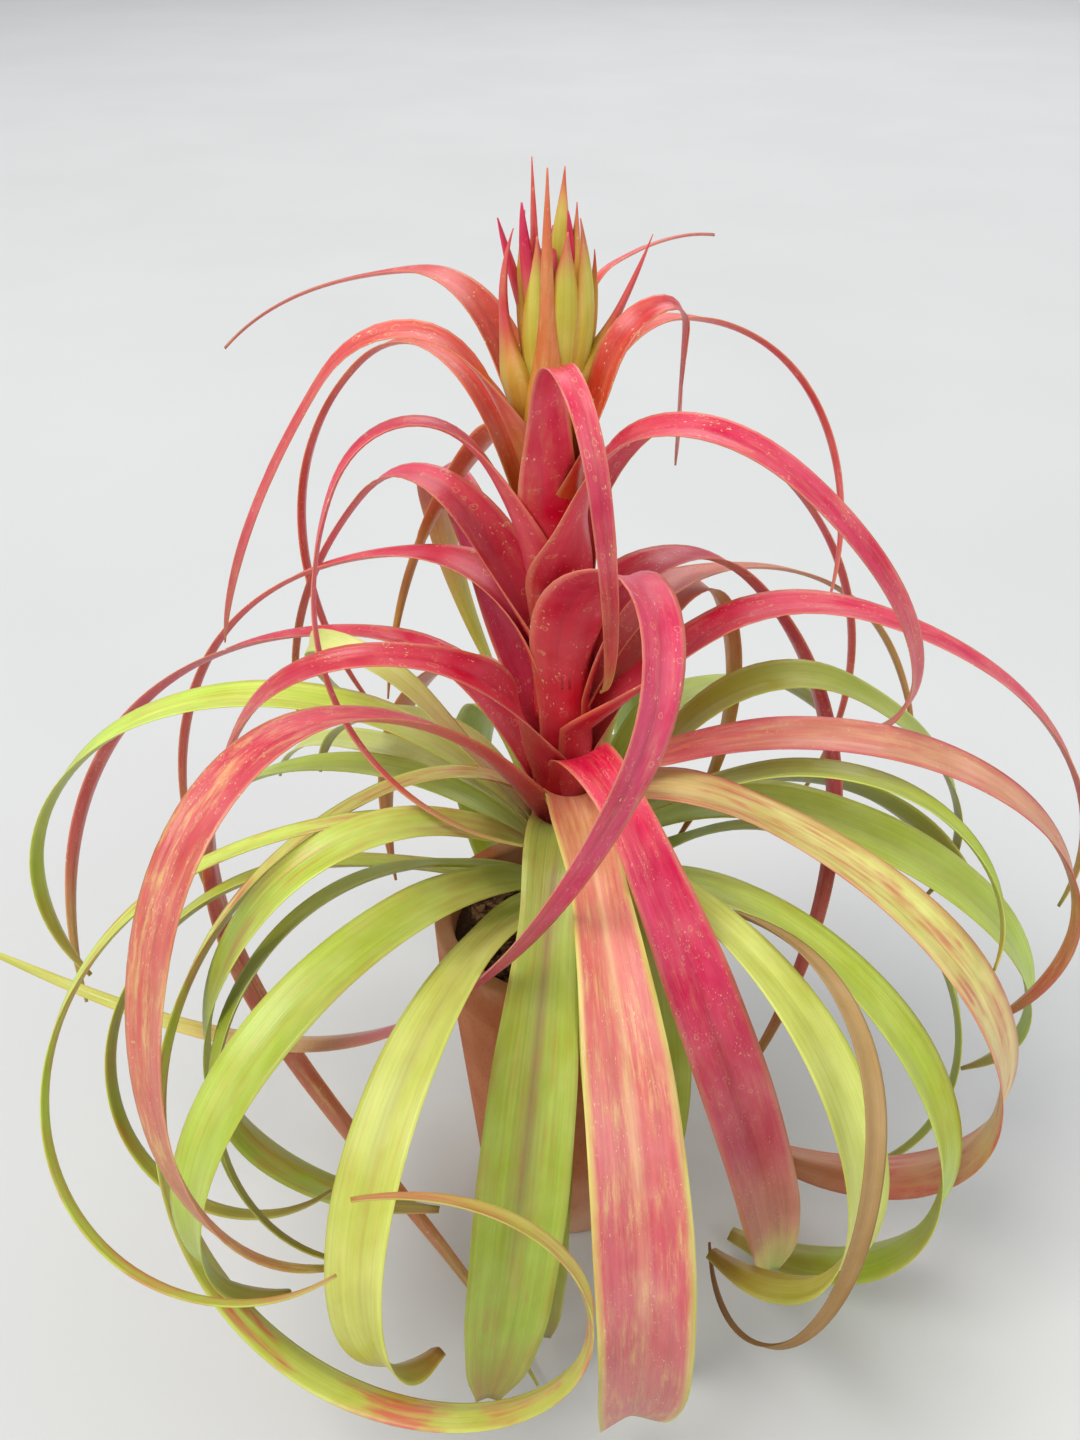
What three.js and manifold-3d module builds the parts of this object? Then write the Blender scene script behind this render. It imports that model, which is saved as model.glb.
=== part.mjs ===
import * as THREE from 'three';
import { mergeVertices } from 'three/addons/utils/BufferGeometryUtils.js';
import Module from 'manifold-3d';

// A tillandsia in flower, in a plain terracotta pot. Millimetres, +Z up. The pot stands on Z = 0
// with its axis on the Z axis. The front of the plant faces -Y and its right side faces +X.

const wasm = await Module();
wasm.setup();

const DEG = Math.PI / 180;
const GAP = 0.3; // clear space between neighbouring pieces

// Pot
const POT_HEIGHT = 136;
const POT_FOOT_RADIUS = 32;
const POT_BODY_RADIUS = 43;
const POT_RIM_RADIUS = 47;
const POT_RIM_HEIGHT = 20;
const POT_WALL = 4;
const POT_FLOOR = 6;
const POT_SIDES = 48;

// Potting mix, with bark chips on its surface
const MIX_BELOW_RIM = 9;
const BARK_CHIPS = 64;
const BARK_SEED = 11;

// The plant stands this high above the surface, measured at the foot of its rosette
const PLANT_FOOT = 150;

// Stem: it leans toward -X as it rises. Heights are above the plant's foot.
const STEM_LEAN = -0.037;
const STEM_PROFILE = [
  { z: -32, r: 9 },
  { z: -17, r: 10 },
  { z: -8, r: 14 },
  { z: 48, r: 8.5 },
  { z: 66, r: 7.2 },
  { z: 120, r: 6.4 },
  { z: 175, r: 5 },
  { z: 215, r: 2.5 },
];
const STEM_SIDES = 12;

// Leaves
const LEAF_EDGE = 0.6; // thickness at the edges
const LEAF_MIDDLE = 1.0; // thickness at the midrib
const ROOT_CLEARANCE = 1.4; // from the stem's surface to the middle of a leaf's root
const LOW_ROOT_CLEARANCE = 0.9; // the same for the lowest, flattest leaf of the rosette
const ARCH_SHARE = 0.28; // share of a leaf's length over which it arches
const TURN_PER_SEGMENT = 13; // degrees of bend that one segment of a leaf may take
const SUBSTEPS = 4;

// Flower head: it starts at this height above the plant's foot.
const HEAD_FOOT = 160;
const SPEAR_DEPTH = 0.5; // thickness of a spear as a share of its width
const MIX_HOLE_RADIUS = 10.5;

// Every leaf below is one row of round figures. Its columns: level, its place in the order of
// growth; az, the side of the stem it grows from, in degrees from +X toward +Y; pitch, how steeply
// it leaves the stem; long and wide; arch, its sharper bend in degrees, about the place at, a share
// of its length; curl, the bend spread over the whole length; roll, how far the blade leans over
// near its root; twist, the turn spread over the whole length; tint; and, for the leaves that keep
// their width, shape: broad, or front for those that are widest below their middle.

// Rosette, from the outermost leaf in. A higher level sits further up and rises more steeply.
const ROSETTE_FOOT = -6;
const ROSETTE_RISE = 1.75;
const ROSETTE_PITCH = 30;
const ROSETTE_STEEPEN = 1.4;
const ROSETTE_LEVELS = 30;
const ROSETTE_COLUMNS = [
  'level', 'az', 'long', 'wide', 'arch', 'at', 'curl', 'roll', 'twist', 'tint', 'shape',
];
const ROSETTE_LEAVES = [
  [4, 330, 295, 23, 30, 0.15, 190, 0, 0, 'green', 'front'],
  [1, 15, 260, 16, 30, 0.2, 160, -40, 50, 'green'],
  [2, 190, 270, 16, -20, 0.2, 260, 10, 50, 'olive'],
  [5, 305, 170, 22, 90, 0.15, 70, -10, 10, 'green', 'broad'],
  [3, 320, 320, 8, 40, 0.35, 190, -50, 70, 'dry'],
  [5, 30, 180, 20, 20, 0.15, 100, -10, -50, 'olive'],
  [6, 205, 220, 15, 0, 0.1, 190, 20, 40, 'olive'],
  [7, 135, 210, 14, 50, 0.05, 60, 0, -20, 'pale'],
  [8, 235, 250, 19, 0, 0.15, 190, -20, 30, 'green', 'broad'],
  [9, 310, 250, 20, 20, 0.1, 200, 0, -10, 'yellow', 'front'],
  [10, 55, 190, 17, 40, 0.25, 60, 0, -30, 'olive'],
  [11, 165, 280, 14, 30, 0.1, 170, -20, 80, 'green'],
  [12, 350, 270, 23, 40, 0.15, 130, 0, 30, 'green'],
  [13, 210, 310, 11, -20, 0.3, 260, -10, 90, 'green'],
  [14, 225, 280, 16, 40, 0.3, 200, -40, 80, 'green', 'broad'],
  [15, 345, 180, 14, -10, 0.25, 160, 0, -20, 'green'],
  [16, 155, 130, 14, 30, 0.25, 100, -20, 20, 'pale'],
  [17, 175, 270, 19, 10, 0.15, 170, 0, 10, 'green'],
  [22, 230, 350, 16, 50, 0.45, 160, 0, 20, 'red'],
  [19, 5, 250, 16, 60, 0.3, 100, 0, 30, 'olive'],
  [19, 185, 260, 8, 120, 0.35, 20, 0, -150, 'pale'],
  [20, 265, 230, 30, 110, 0.1, 50, 0, -20, 'green', 'front'],
  [22, 330, 340, 24, 70, 0.05, 200, 10, 0, 'peach', 'front'],
  [23, 200, 480, 13, 100, 0, 350, 0, 130, 'yellow'],
  [24, 280, 240, 31, 120, 0.1, 50, 0, 20, 'green', 'front'],
  [25, 340, 260, 16, 50, 0, 180, 20, -20, 'peach'],
  [26, 155, 310, 11, 50, 0.15, 140, 0, 40, 'red'],
  [26, 278, 268, 29, 130, 0, 140, 0, 0, 'pink', 'front'],
  [29, 240, 470, 10, 110, 0.2, 170, -80, 110, 'red'],
  [29, 280, 265, 24, 120, 0.15, 60, 20, 0, 'red', 'front'],
  // Two more that hang before the pot
  [4, 245, 240, 20, 0, 0.15, 190, 0, 10, 'yellow', 'front'],
  [1, 265, 190, 16, 80, 0.15, 60, 0, 0, 'olive', 'broad'],
  // Leaves on the far side
  [2, 100, 180, 21, 60, 0.2, 60, 0, 10, 'olive'],
  [8, 80, 180, 21, 60, 0.2, 90, 0, 0, 'green'],
  [13, 115, 220, 20, 70, 0.2, 110, 0, -20, 'green'],
  [18, 70, 230, 20, 80, 0.2, 90, 0, 20, 'green'],
  [22, 125, 210, 12, 70, 0.2, 110, 0, 10, 'peach'],
];

// Flower spike, from the lowest leaf up. A higher level sits further up the stem.
const SPIKE_FOOT = 53;
const SPIKE_RISE = 6;
const SPIKE_COLUMNS = [
  'level', 'az', 'pitch', 'long', 'wide', 'arch', 'at', 'curl', 'roll', 'twist', 'tint',
];
const SPIKE_LEAVES = [
  [0, 40, 60, 190, 12, 90, 0.35, 110, 0, 0, 'peach'],
  [1, 125, 60, 200, 17, 110, 0.5, 70, 0, -30, 'pink'],
  [2, 0, 50, 270, 16, 40, 0.25, 110, 0, 10, 'red'],
  [3, 40, 60, 230, 9, 50, 0.15, 100, 0, -20, 'peach'],
  [4, 30, 80, 310, 11, 100, 0.15, 160, 0, -50, 'red'],
  [5, 150, 80, 280, 9, 80, 0.1, 130, 0, 20, 'red'],
  [6, 305, 80, 450, 13, 150, 0.15, 130, -10, -110, 'pink'],
  [7, 150, 60, 210, 10, 90, 0.3, 60, 0, -10, 'red'],
  [8, 55, 80, 300, 9, 90, 0.2, 120, -30, 30, 'red'],
  [9, 285, 80, 290, 11, 80, 0.3, 160, 40, 50, 'red'],
  [10, 195, 80, 240, 8, 100, 0.3, 150, -10, 50, 'red'],
  [11, 260, 80, 240, 8, 140, 0.4, 90, 20, 20, 'red'],
  [12, 145, 75, 270, 7, 80, 0.25, 140, 0, -10, 'coral'],
  [13, 110, 75, 150, 6, 110, 0.2, 80, 20, 30, 'peach'],
  [13, 320, 80, 190, 6, 150, 0.4, 0, 20, 170, 'coral'],
  [15, 210, 70, 230, 6, 120, 0.3, 40, 0, -100, 'coral'],
  [16, 40, 80, 200, 6, 60, 0.2, 150, 0, -30, 'coral'],
  [17, 145, 70, 170, 5, 70, 0.3, 40, 0, -10, 'coral'],
];

// Bracts of the flower head. z is the height above the plant's foot.
const HEAD_SPEARS = [
  { z: 168, az: 205, pitch: 88, long: 70, wide: 11, curl: 0 }, // the tall central one
  { z: 166, az: 190, pitch: 64, long: 56, wide: 13, curl: -45 },
  { z: 172, az: 355, pitch: 60, long: 52, wide: 10, curl: -10 },
  { z: 176, az: 290, pitch: 78, long: 46, wide: 14, curl: -5 },
  { z: 174, az: 330, pitch: 72, long: 50, wide: 12, curl: -30 },
  { z: 184, az: 20, pitch: 80, long: 42, wide: 10, curl: -10 },
  { z: 188, az: 60, pitch: 84, long: 46, wide: 9, curl: 0 },
  { z: 178, az: 155, pitch: 76, long: 46, wide: 10, curl: -20 },
  { z: 178, az: 245, pitch: 80, long: 42, wide: 13, curl: -5 },
  { z: 174, az: 125, pitch: 72, long: 44, wide: 11, curl: -25 },
  { z: 170, az: 35, pitch: 64, long: 44, wide: 9, curl: -30 },
  { z: 166, az: 90, pitch: 70, long: 50, wide: 12, curl: -30 },
];
const HEAD_LEAVES = [
  { z: 174, az: 65, pitch: 50, long: 115, wide: 3, arch: 40, at: 0.3, curl: 25, roll: -5, twist: -10 },
];

// Buds in the axils of the upper leaves
const AXIL_BUDS = [
  { z: 152, az: 220, pitch: 60, long: 20, wide: 4, curl: -10 },
  { z: 134, az: 15, pitch: 62, long: 18, wide: 4, curl: -10 },
];

const TINTS = {
  green: { color: 0xa9b44c, roughness: 0.6 },
  yellow: { color: 0xc8c25a, roughness: 0.6 },
  olive: { color: 0x8d9440, roughness: 0.65 },
  pale: { color: 0xb5bd78, roughness: 0.6 },
  peach: { color: 0xd08f62, roughness: 0.6 },
  coral: { color: 0xd4604c, roughness: 0.6 },
  red: { color: 0xc0434a, roughness: 0.6 },
  pink: { color: 0xd0607c, roughness: 0.6 },
  dry: { color: 0xa98d63, roughness: 0.8 },
};

// Shape helpers

const ease = (x) => {
  const t = Math.min(1, Math.max(0, x));
  return t * t * (3 - 2 * t);
};

// Reads a value off a short list of [position, value] stops.
function along(stops, x) {
  if (x <= stops[0][0]) return stops[0][1];
  for (let i = 1; i < stops.length; i += 1) {
    const [x0, y0] = stops[i - 1];
    const [x1, y1] = stops[i];
    if (x <= x1) return y0 + ((x - x0) / (x1 - x0)) * (y1 - y0);
  }
  return stops[stops.length - 1][1];
}

const stemRadius = (z) => along(STEM_PROFILE.map((stop) => [stop.z, stop.r]), z);
const stemX = (z) => STEM_LEAN * Math.max(0, z);

function toManifold(geometry) {
  const bare = new THREE.BufferGeometry();
  bare.setAttribute('position', geometry.getAttribute('position'));
  if (geometry.index) bare.setIndex(geometry.index);
  const merged = mergeVertices(bare, 1e-3);
  return new wasm.Manifold(
    new wasm.Mesh({
      numProp: 3,
      vertProperties: merged.attributes.position.array,
      triVerts: new Uint32Array(merged.index.array),
    }),
  );
}

function fromManifold(body) {
  const mesh = body.getMesh();
  const geometry = new THREE.BufferGeometry();
  geometry.setAttribute('position', new THREE.BufferAttribute(mesh.vertProperties, 3));
  geometry.setIndex(new THREE.BufferAttribute(mesh.triVerts, 1));
  return geometry;
}

const fuse = (bodies) => bodies.reduce((sum, body) => sum.add(body));

const group = new THREE.Group();

function place(name, geometry, look) {
  const flat = geometry.index ? geometry.toNonIndexed() : geometry;
  flat.computeVertexNormals();
  const mesh = new THREE.Mesh(flat, new THREE.MeshStandardMaterial({ metalness: 0, ...look }));
  mesh.name = name;
  group.add(mesh);
}

// A tapering tube of rings: each ring is a list of points, all rings with as many, turning
// counterclockwise as seen from the last ring. Both ends are closed flat.
function skinRings(rings) {
  const sides = rings[0].length;
  const points = rings.flat().flatMap((p) => [p.x, p.y, p.z]);
  const faces = [];
  for (let j = 0; j + 1 < rings.length; j += 1) {
    for (let k = 0; k < sides; k += 1) {
      const a = j * sides + k;
      const b = j * sides + ((k + 1) % sides);
      faces.push(a, b, b + sides, a, b + sides, a + sides);
    }
  }
  const last = (rings.length - 1) * sides;
  for (let k = 1; k + 1 < sides; k += 1) {
    faces.push(0, k + 1, k);
    faces.push(last, last + k, last + k + 1);
  }
  const geometry = new THREE.BufferGeometry();
  geometry.setAttribute('position', new THREE.Float32BufferAttribute(points, 3));
  geometry.setIndex(faces);
  return geometry;
}

// Walks along a leaf or bract from its root on the stem. At each of the stations it gives the
// middle of the blade, its direction, its sideways axis and its upward axis.
function walk(leaf, segments) {
  const a = leaf.az * DEG;
  const e = leaf.pitch * DEG;
  const r = stemRadius(leaf.z) + (leaf.clear ?? ROOT_CLEARANCE);
  const at = new THREE.Vector3(
    stemX(leaf.z) + r * Math.cos(a),
    r * Math.sin(a),
    PLANT_FOOT + leaf.z,
  );
  let dir = new THREE.Vector3(Math.cos(e) * Math.cos(a), Math.cos(e) * Math.sin(a), Math.sin(e));
  let side = new THREE.Vector3(-Math.sin(a), Math.cos(a), 0);
  let up = dir.clone().cross(side);
  const bendAt = (s) =>
    leaf.arch * ease((s - leaf.at) / ARCH_SHARE + 0.5) + leaf.curl * s * (0.5 + 0.5 * s);
  const turnAt = (s) => leaf.roll * ease(s / 0.15) + leaf.twist * s;
  const stations = [{ s: 0, at: at.clone(), dir, side, up }];
  const steps = segments * SUBSTEPS;
  const half = leaf.long / steps / 2;
  for (let i = 0; i < steps; i += 1) {
    const bend = (bendAt((i + 1) / steps) - bendAt(i / steps)) * DEG;
    const turn = (turnAt((i + 1) / steps) - turnAt(i / steps)) * DEG;
    const next = dir.clone().multiplyScalar(Math.cos(bend)).addScaledVector(up, -Math.sin(bend));
    const lift = up.clone().multiplyScalar(Math.cos(bend)).addScaledVector(dir, Math.sin(bend));
    at.addScaledVector(dir, half).addScaledVector(next, half);
    dir = next;
    up = lift.clone().multiplyScalar(Math.cos(turn)).addScaledVector(side, -Math.sin(turn));
    side = side.clone().multiplyScalar(Math.cos(turn)).addScaledVector(lift, Math.sin(turn));
    if ((i + 1) % SUBSTEPS === 0) {
      stations.push({ s: (i + 1) / steps, at: at.clone(), dir, side, up });
    }
  }
  return stations;
}

// A leaf: a folded strap, three points across on each face, closed flat at both ends.

const LEAF_FOLD = [
  [0, 28],
  [0.15, 20],
  [0.5, 12],
  [1, 22],
];
const ROSETTE_OUTLINE = [
  [0, 0.45],
  [0.08, 0.65],
  [0.25, 0.95],
  [0.4, 1],
  [0.6, 0.92],
  [0.8, 0.65],
  [0.93, 0.35],
  [1, 0.08],
];
const BROAD_OUTLINE = [
  [0, 0.35],
  [0.08, 0.55],
  [0.25, 0.85],
  [0.5, 1],
  [0.75, 0.92],
  [0.9, 0.62],
  [1, 0.12],
];
const FRONT_OUTLINE = [
  [0, 0.28],
  [0.08, 0.42],
  [0.25, 0.64],
  [0.42, 0.9],
  [0.6, 1],
  [0.8, 0.95],
  [0.92, 0.7],
  [1, 0.25],
];
const SPIKE_OUTLINE = [
  [0, 1.7],
  [0.06, 1.6],
  [0.14, 1.2],
  [0.25, 1],
  [0.45, 0.8],
  [0.75, 0.55],
  [0.93, 0.28],
  [1, 0.08],
];
const ROSETTE_SHAPES = { strap: ROSETTE_OUTLINE, broad: BROAD_OUTLINE, front: FRONT_OUTLINE };

function leafSection(station, width, fold) {
  const { at, side, up } = station;
  const out = (width / 2) * Math.cos(fold);
  const rise = (width / 2) * Math.sin(fold);
  const edge = LEAF_EDGE / 2;
  const middle = LEAF_MIDDLE / 2;
  const point = (x, y) => at.clone().addScaledVector(side, x).addScaledVector(up, y);
  return [
    point(-out, rise - edge),
    point(0, -middle),
    point(out, rise - edge),
    point(out, rise + edge),
    point(0, middle),
    point(-out, rise + edge),
  ];
}

function leafGeometry(leaf, outline) {
  const bend = Math.abs(leaf.arch) + Math.abs(leaf.curl);
  const segments = Math.max(12, Math.round(bend / TURN_PER_SEGMENT));
  const stations = walk(leaf, segments);
  const points = [];
  const faces = [];
  stations.forEach((station) => {
    const width = leaf.wide * along(outline, station.s);
    const fold = along(LEAF_FOLD, station.s) * DEG;
    leafSection(station, width, fold).forEach((p) => points.push(p.x, p.y, p.z));
  });
  for (let j = 0; j < segments; j += 1) {
    for (let k = 0; k < 6; k += 1) {
      const a = 6 * j + k;
      const b = 6 * j + ((k + 1) % 6);
      // The upper face is split along the same diagonals as the lower one.
      if (k === 3 || k === 4) faces.push(a, b, a + 6, b, b + 6, a + 6);
      else faces.push(a, b, b + 6, a, b + 6, a + 6);
    }
  }
  const end = 6 * segments;
  faces.push(0, 5, 4, 0, 4, 1, 1, 4, 3, 1, 3, 2);
  faces.push(end, end + 4, end + 5, end, end + 1, end + 4);
  faces.push(end + 1, end + 3, end + 4, end + 1, end + 2, end + 3);
  const geometry = new THREE.BufferGeometry();
  geometry.setAttribute('position', new THREE.Float32BufferAttribute(points, 3));
  geometry.setIndex(faces);
  return geometry;
}

// Pot: a turned wall and floor with a thicker rim band

function makePot() {
  const bandFoot = POT_HEIGHT - POT_RIM_HEIGHT;
  const profile = [
    [0, 0],
    [POT_FOOT_RADIUS - 1.5, 0],
    [POT_FOOT_RADIUS, 1.5],
    [POT_BODY_RADIUS, bandFoot],
    [POT_RIM_RADIUS - 1, bandFoot + 1],
    [POT_RIM_RADIUS, POT_HEIGHT - 1.5],
    [POT_RIM_RADIUS - 1.5, POT_HEIGHT],
    [innerRadius(POT_HEIGHT), POT_HEIGHT],
    [innerRadius(POT_FLOOR), POT_FLOOR],
    [0, POT_FLOOR],
  ].map(([r, z]) => new THREE.Vector2(r, z));
  const turned = new THREE.LatheGeometry(profile, POT_SIDES).rotateX(Math.PI / 2);
  place('pot', fromManifold(toManifold(turned)), { color: 0xb5673f, roughness: 0.85 });
}

function innerRadius(z) {
  const slope = (POT_BODY_RADIUS - POT_FOOT_RADIUS) / (POT_HEIGHT - POT_RIM_HEIGHT);
  return POT_FOOT_RADIUS - POT_WALL + slope * z;
}

// Potting mix: it fills the pot, with a plain hole for the stem and bark chips on top.

function randomSource(seed) {
  let state = seed;
  return () => {
    state = (state * 16807) % 2147483647;
    return state / 2147483647;
  };
}

function makeMix() {
  const top = POT_HEIGHT - MIX_BELOW_RIM;
  const foot = POT_FLOOR + GAP;
  const fill = new THREE.CylinderGeometry(
    innerRadius(top) - GAP,
    innerRadius(foot) - GAP,
    top - foot,
    POT_SIDES,
  );
  fill.rotateX(Math.PI / 2).translate(0, 0, (top + foot) / 2);
  const random = randomSource(BARK_SEED);
  const chips = [];
  for (let i = 0; i < BARK_CHIPS; i += 1) {
    const long = 7 + 6 * random();
    const wide = 5 + 3 * random();
    const reach = innerRadius(top) - 2 - long / 2;
    const r = Math.sqrt(random()) * reach;
    const a = random() * 2 * Math.PI;
    const chip = new THREE.BoxGeometry(long, wide, 3);
    chip.rotateX((random() - 0.5) * 0.7).rotateY((random() - 0.5) * 0.6);
    chip.rotateZ(random() * Math.PI).translate(r * Math.cos(a), r * Math.sin(a), top);
    chips.push(toManifold(chip));
  }
  const holeFoot = PLANT_FOOT + STEM_PROFILE[0].z - GAP;
  const hole = new THREE.CylinderGeometry(MIX_HOLE_RADIUS, MIX_HOLE_RADIUS, 60, STEM_SIDES * 2);
  hole.rotateX(Math.PI / 2).translate(0, 0, holeFoot + 30);
  const mix = fuse([toManifold(fill), ...chips]).subtract(toManifold(hole));
  place('potting_mix', fromManifold(mix), { color: 0x5d4331, roughness: 0.95 });
}

// Stem, from the crown in the mix to the foot of the flower head

function columnGeometry(stops) {
  const rings = stops.map(({ z, r }) => {
    const ring = [];
    for (let k = 0; k < STEM_SIDES; k += 1) {
      const a = (k / STEM_SIDES) * 2 * Math.PI;
      ring.push(new THREE.Vector3(stemX(z) + r * Math.cos(a), r * Math.sin(a), PLANT_FOOT + z));
    }
    return ring;
  });
  return skinRings(rings);
}

function stopsBetween(low, high) {
  const inside = STEM_PROFILE.filter(({ z }) => z > low && z < high);
  return [{ z: low, r: stemRadius(low) }, ...inside, { z: high, r: stemRadius(high) }];
}

// A spear: a solid, flattened bract or bud that tapers to a point
const SPEAR_OUTLINE = [
  [0, 0.35],
  [0.12, 0.8],
  [0.35, 1],
  [0.7, 0.7],
  [0.92, 0.3],
  [1, 0.08],
];
const SPEAR_SIDES = 6;
const SPEAR_SEGMENTS = 8;
const SPEAR_SUNK = -1.5; // its root sits inside the stem

function spearGeometry(spear) {
  const rings = walk({ arch: 0, at: 0.5, roll: 0, twist: 0, ...spear }, SPEAR_SEGMENTS).map(
    ({ s, at, side, up }) => {
      const width = spear.wide * along(SPEAR_OUTLINE, s);
      const ring = [];
      for (let k = 0; k < SPEAR_SIDES; k += 1) {
        const a = (k / SPEAR_SIDES) * 2 * Math.PI;
        const x = (width / 2) * Math.cos(a);
        const y = SPEAR_DEPTH * (width / 2) * Math.sin(a);
        ring.push(at.clone().addScaledVector(side, x).addScaledVector(up, y));
      }
      return ring;
    },
  );
  return skinRings(rings);
}

function makeStem() {
  const column = columnGeometry(stopsBetween(STEM_PROFILE[0].z, HEAD_FOOT - GAP));
  const buds = AXIL_BUDS.map((bud) => spearGeometry({ clear: SPEAR_SUNK, ...bud }));
  const body = fuse([column, ...buds].map(toManifold));
  place('stem', fromManifold(body), { color: 0xa8454f, roughness: 0.65 });
}

function makeFlowerHead() {
  const top = STEM_PROFILE[STEM_PROFILE.length - 1].z;
  const column = columnGeometry(stopsBetween(HEAD_FOOT, top));
  const spears = HEAD_SPEARS.map((spear) => spearGeometry({ clear: SPEAR_SUNK, ...spear }));
  const leaves = HEAD_LEAVES.map((leaf) =>
    leafGeometry({ clear: SPEAR_SUNK, ...leaf }, SPIKE_OUTLINE),
  );
  const body = fuse([column, ...spears, ...leaves].map(toManifold));
  place('flower_head', fromManifold(body), { color: 0xc3bd55, roughness: 0.55 });
}

const twoDigits = (n) => String(n).padStart(2, '0');
const readRow = (columns, row) => Object.fromEntries(row.map((value, i) => [columns[i], value]));

function makeRosette() {
  ROSETTE_LEAVES.forEach((row, i) => {
    const leaf = readRow(ROSETTE_COLUMNS, row);
    leaf.z = ROSETTE_FOOT + ROSETTE_RISE * leaf.level;
    leaf.pitch = ROSETTE_PITCH + ROSETTE_STEEPEN * leaf.level;
    const share = leaf.level / ROSETTE_LEVELS;
    leaf.clear = LOW_ROOT_CLEARANCE + share * (ROOT_CLEARANCE - LOW_ROOT_CLEARANCE);
    const name = leaf.tint === 'dry' ? 'dried_leaf' : `rosette_leaf_${twoDigits(i + 1)}`;
    place(name, leafGeometry(leaf, ROSETTE_SHAPES[leaf.shape || 'strap']), TINTS[leaf.tint]);
  });
}

function makeSpikeLeaves() {
  SPIKE_LEAVES.forEach((row, i) => {
    const leaf = readRow(SPIKE_COLUMNS, row);
    leaf.z = SPIKE_FOOT + SPIKE_RISE * leaf.level;
    place(`spike_leaf_${twoDigits(i + 1)}`, leafGeometry(leaf, SPIKE_OUTLINE), TINTS[leaf.tint]);
  });
}

makePot();
makeMix();
makeStem();
makeRosette();
makeSpikeLeaves();
makeFlowerHead();

export default group;
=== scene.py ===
import math
import random

import bmesh
import bpy
from mathutils import Matrix, Vector


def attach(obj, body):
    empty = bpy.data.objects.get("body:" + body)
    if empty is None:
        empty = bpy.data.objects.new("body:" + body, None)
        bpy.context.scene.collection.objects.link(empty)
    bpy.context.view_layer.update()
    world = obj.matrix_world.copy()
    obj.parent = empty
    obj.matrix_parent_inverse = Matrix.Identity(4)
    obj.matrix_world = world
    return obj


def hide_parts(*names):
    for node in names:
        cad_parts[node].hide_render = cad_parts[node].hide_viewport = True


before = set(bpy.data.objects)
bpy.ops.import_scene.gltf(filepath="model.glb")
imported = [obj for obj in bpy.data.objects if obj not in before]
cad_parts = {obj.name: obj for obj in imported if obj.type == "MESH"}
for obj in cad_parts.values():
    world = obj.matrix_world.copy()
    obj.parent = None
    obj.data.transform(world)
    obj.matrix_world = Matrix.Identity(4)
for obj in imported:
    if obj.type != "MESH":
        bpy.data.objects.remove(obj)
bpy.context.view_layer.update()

MM = 0.001
DEG = math.pi / 180

# Plant: the same heights, stem and rules of growth as in the solids, in millimetres
PLANT_FOOT = 150
STEM_LEAN = -0.037
STEM_PROFILE = [
    (-32, 9), (-17, 10), (-8, 14), (48, 8.5), (66, 7.2), (120, 6.4), (175, 5), (215, 2.5),
]
ROOT_CLEARANCE = 1.4
LOW_ROOT_CLEARANCE = 0.9
ARCH_SHARE = 0.28
ROLL_SHARE = 0.15
TURN_PER_SEGMENT = 13
SUBSTEPS = 4

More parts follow.
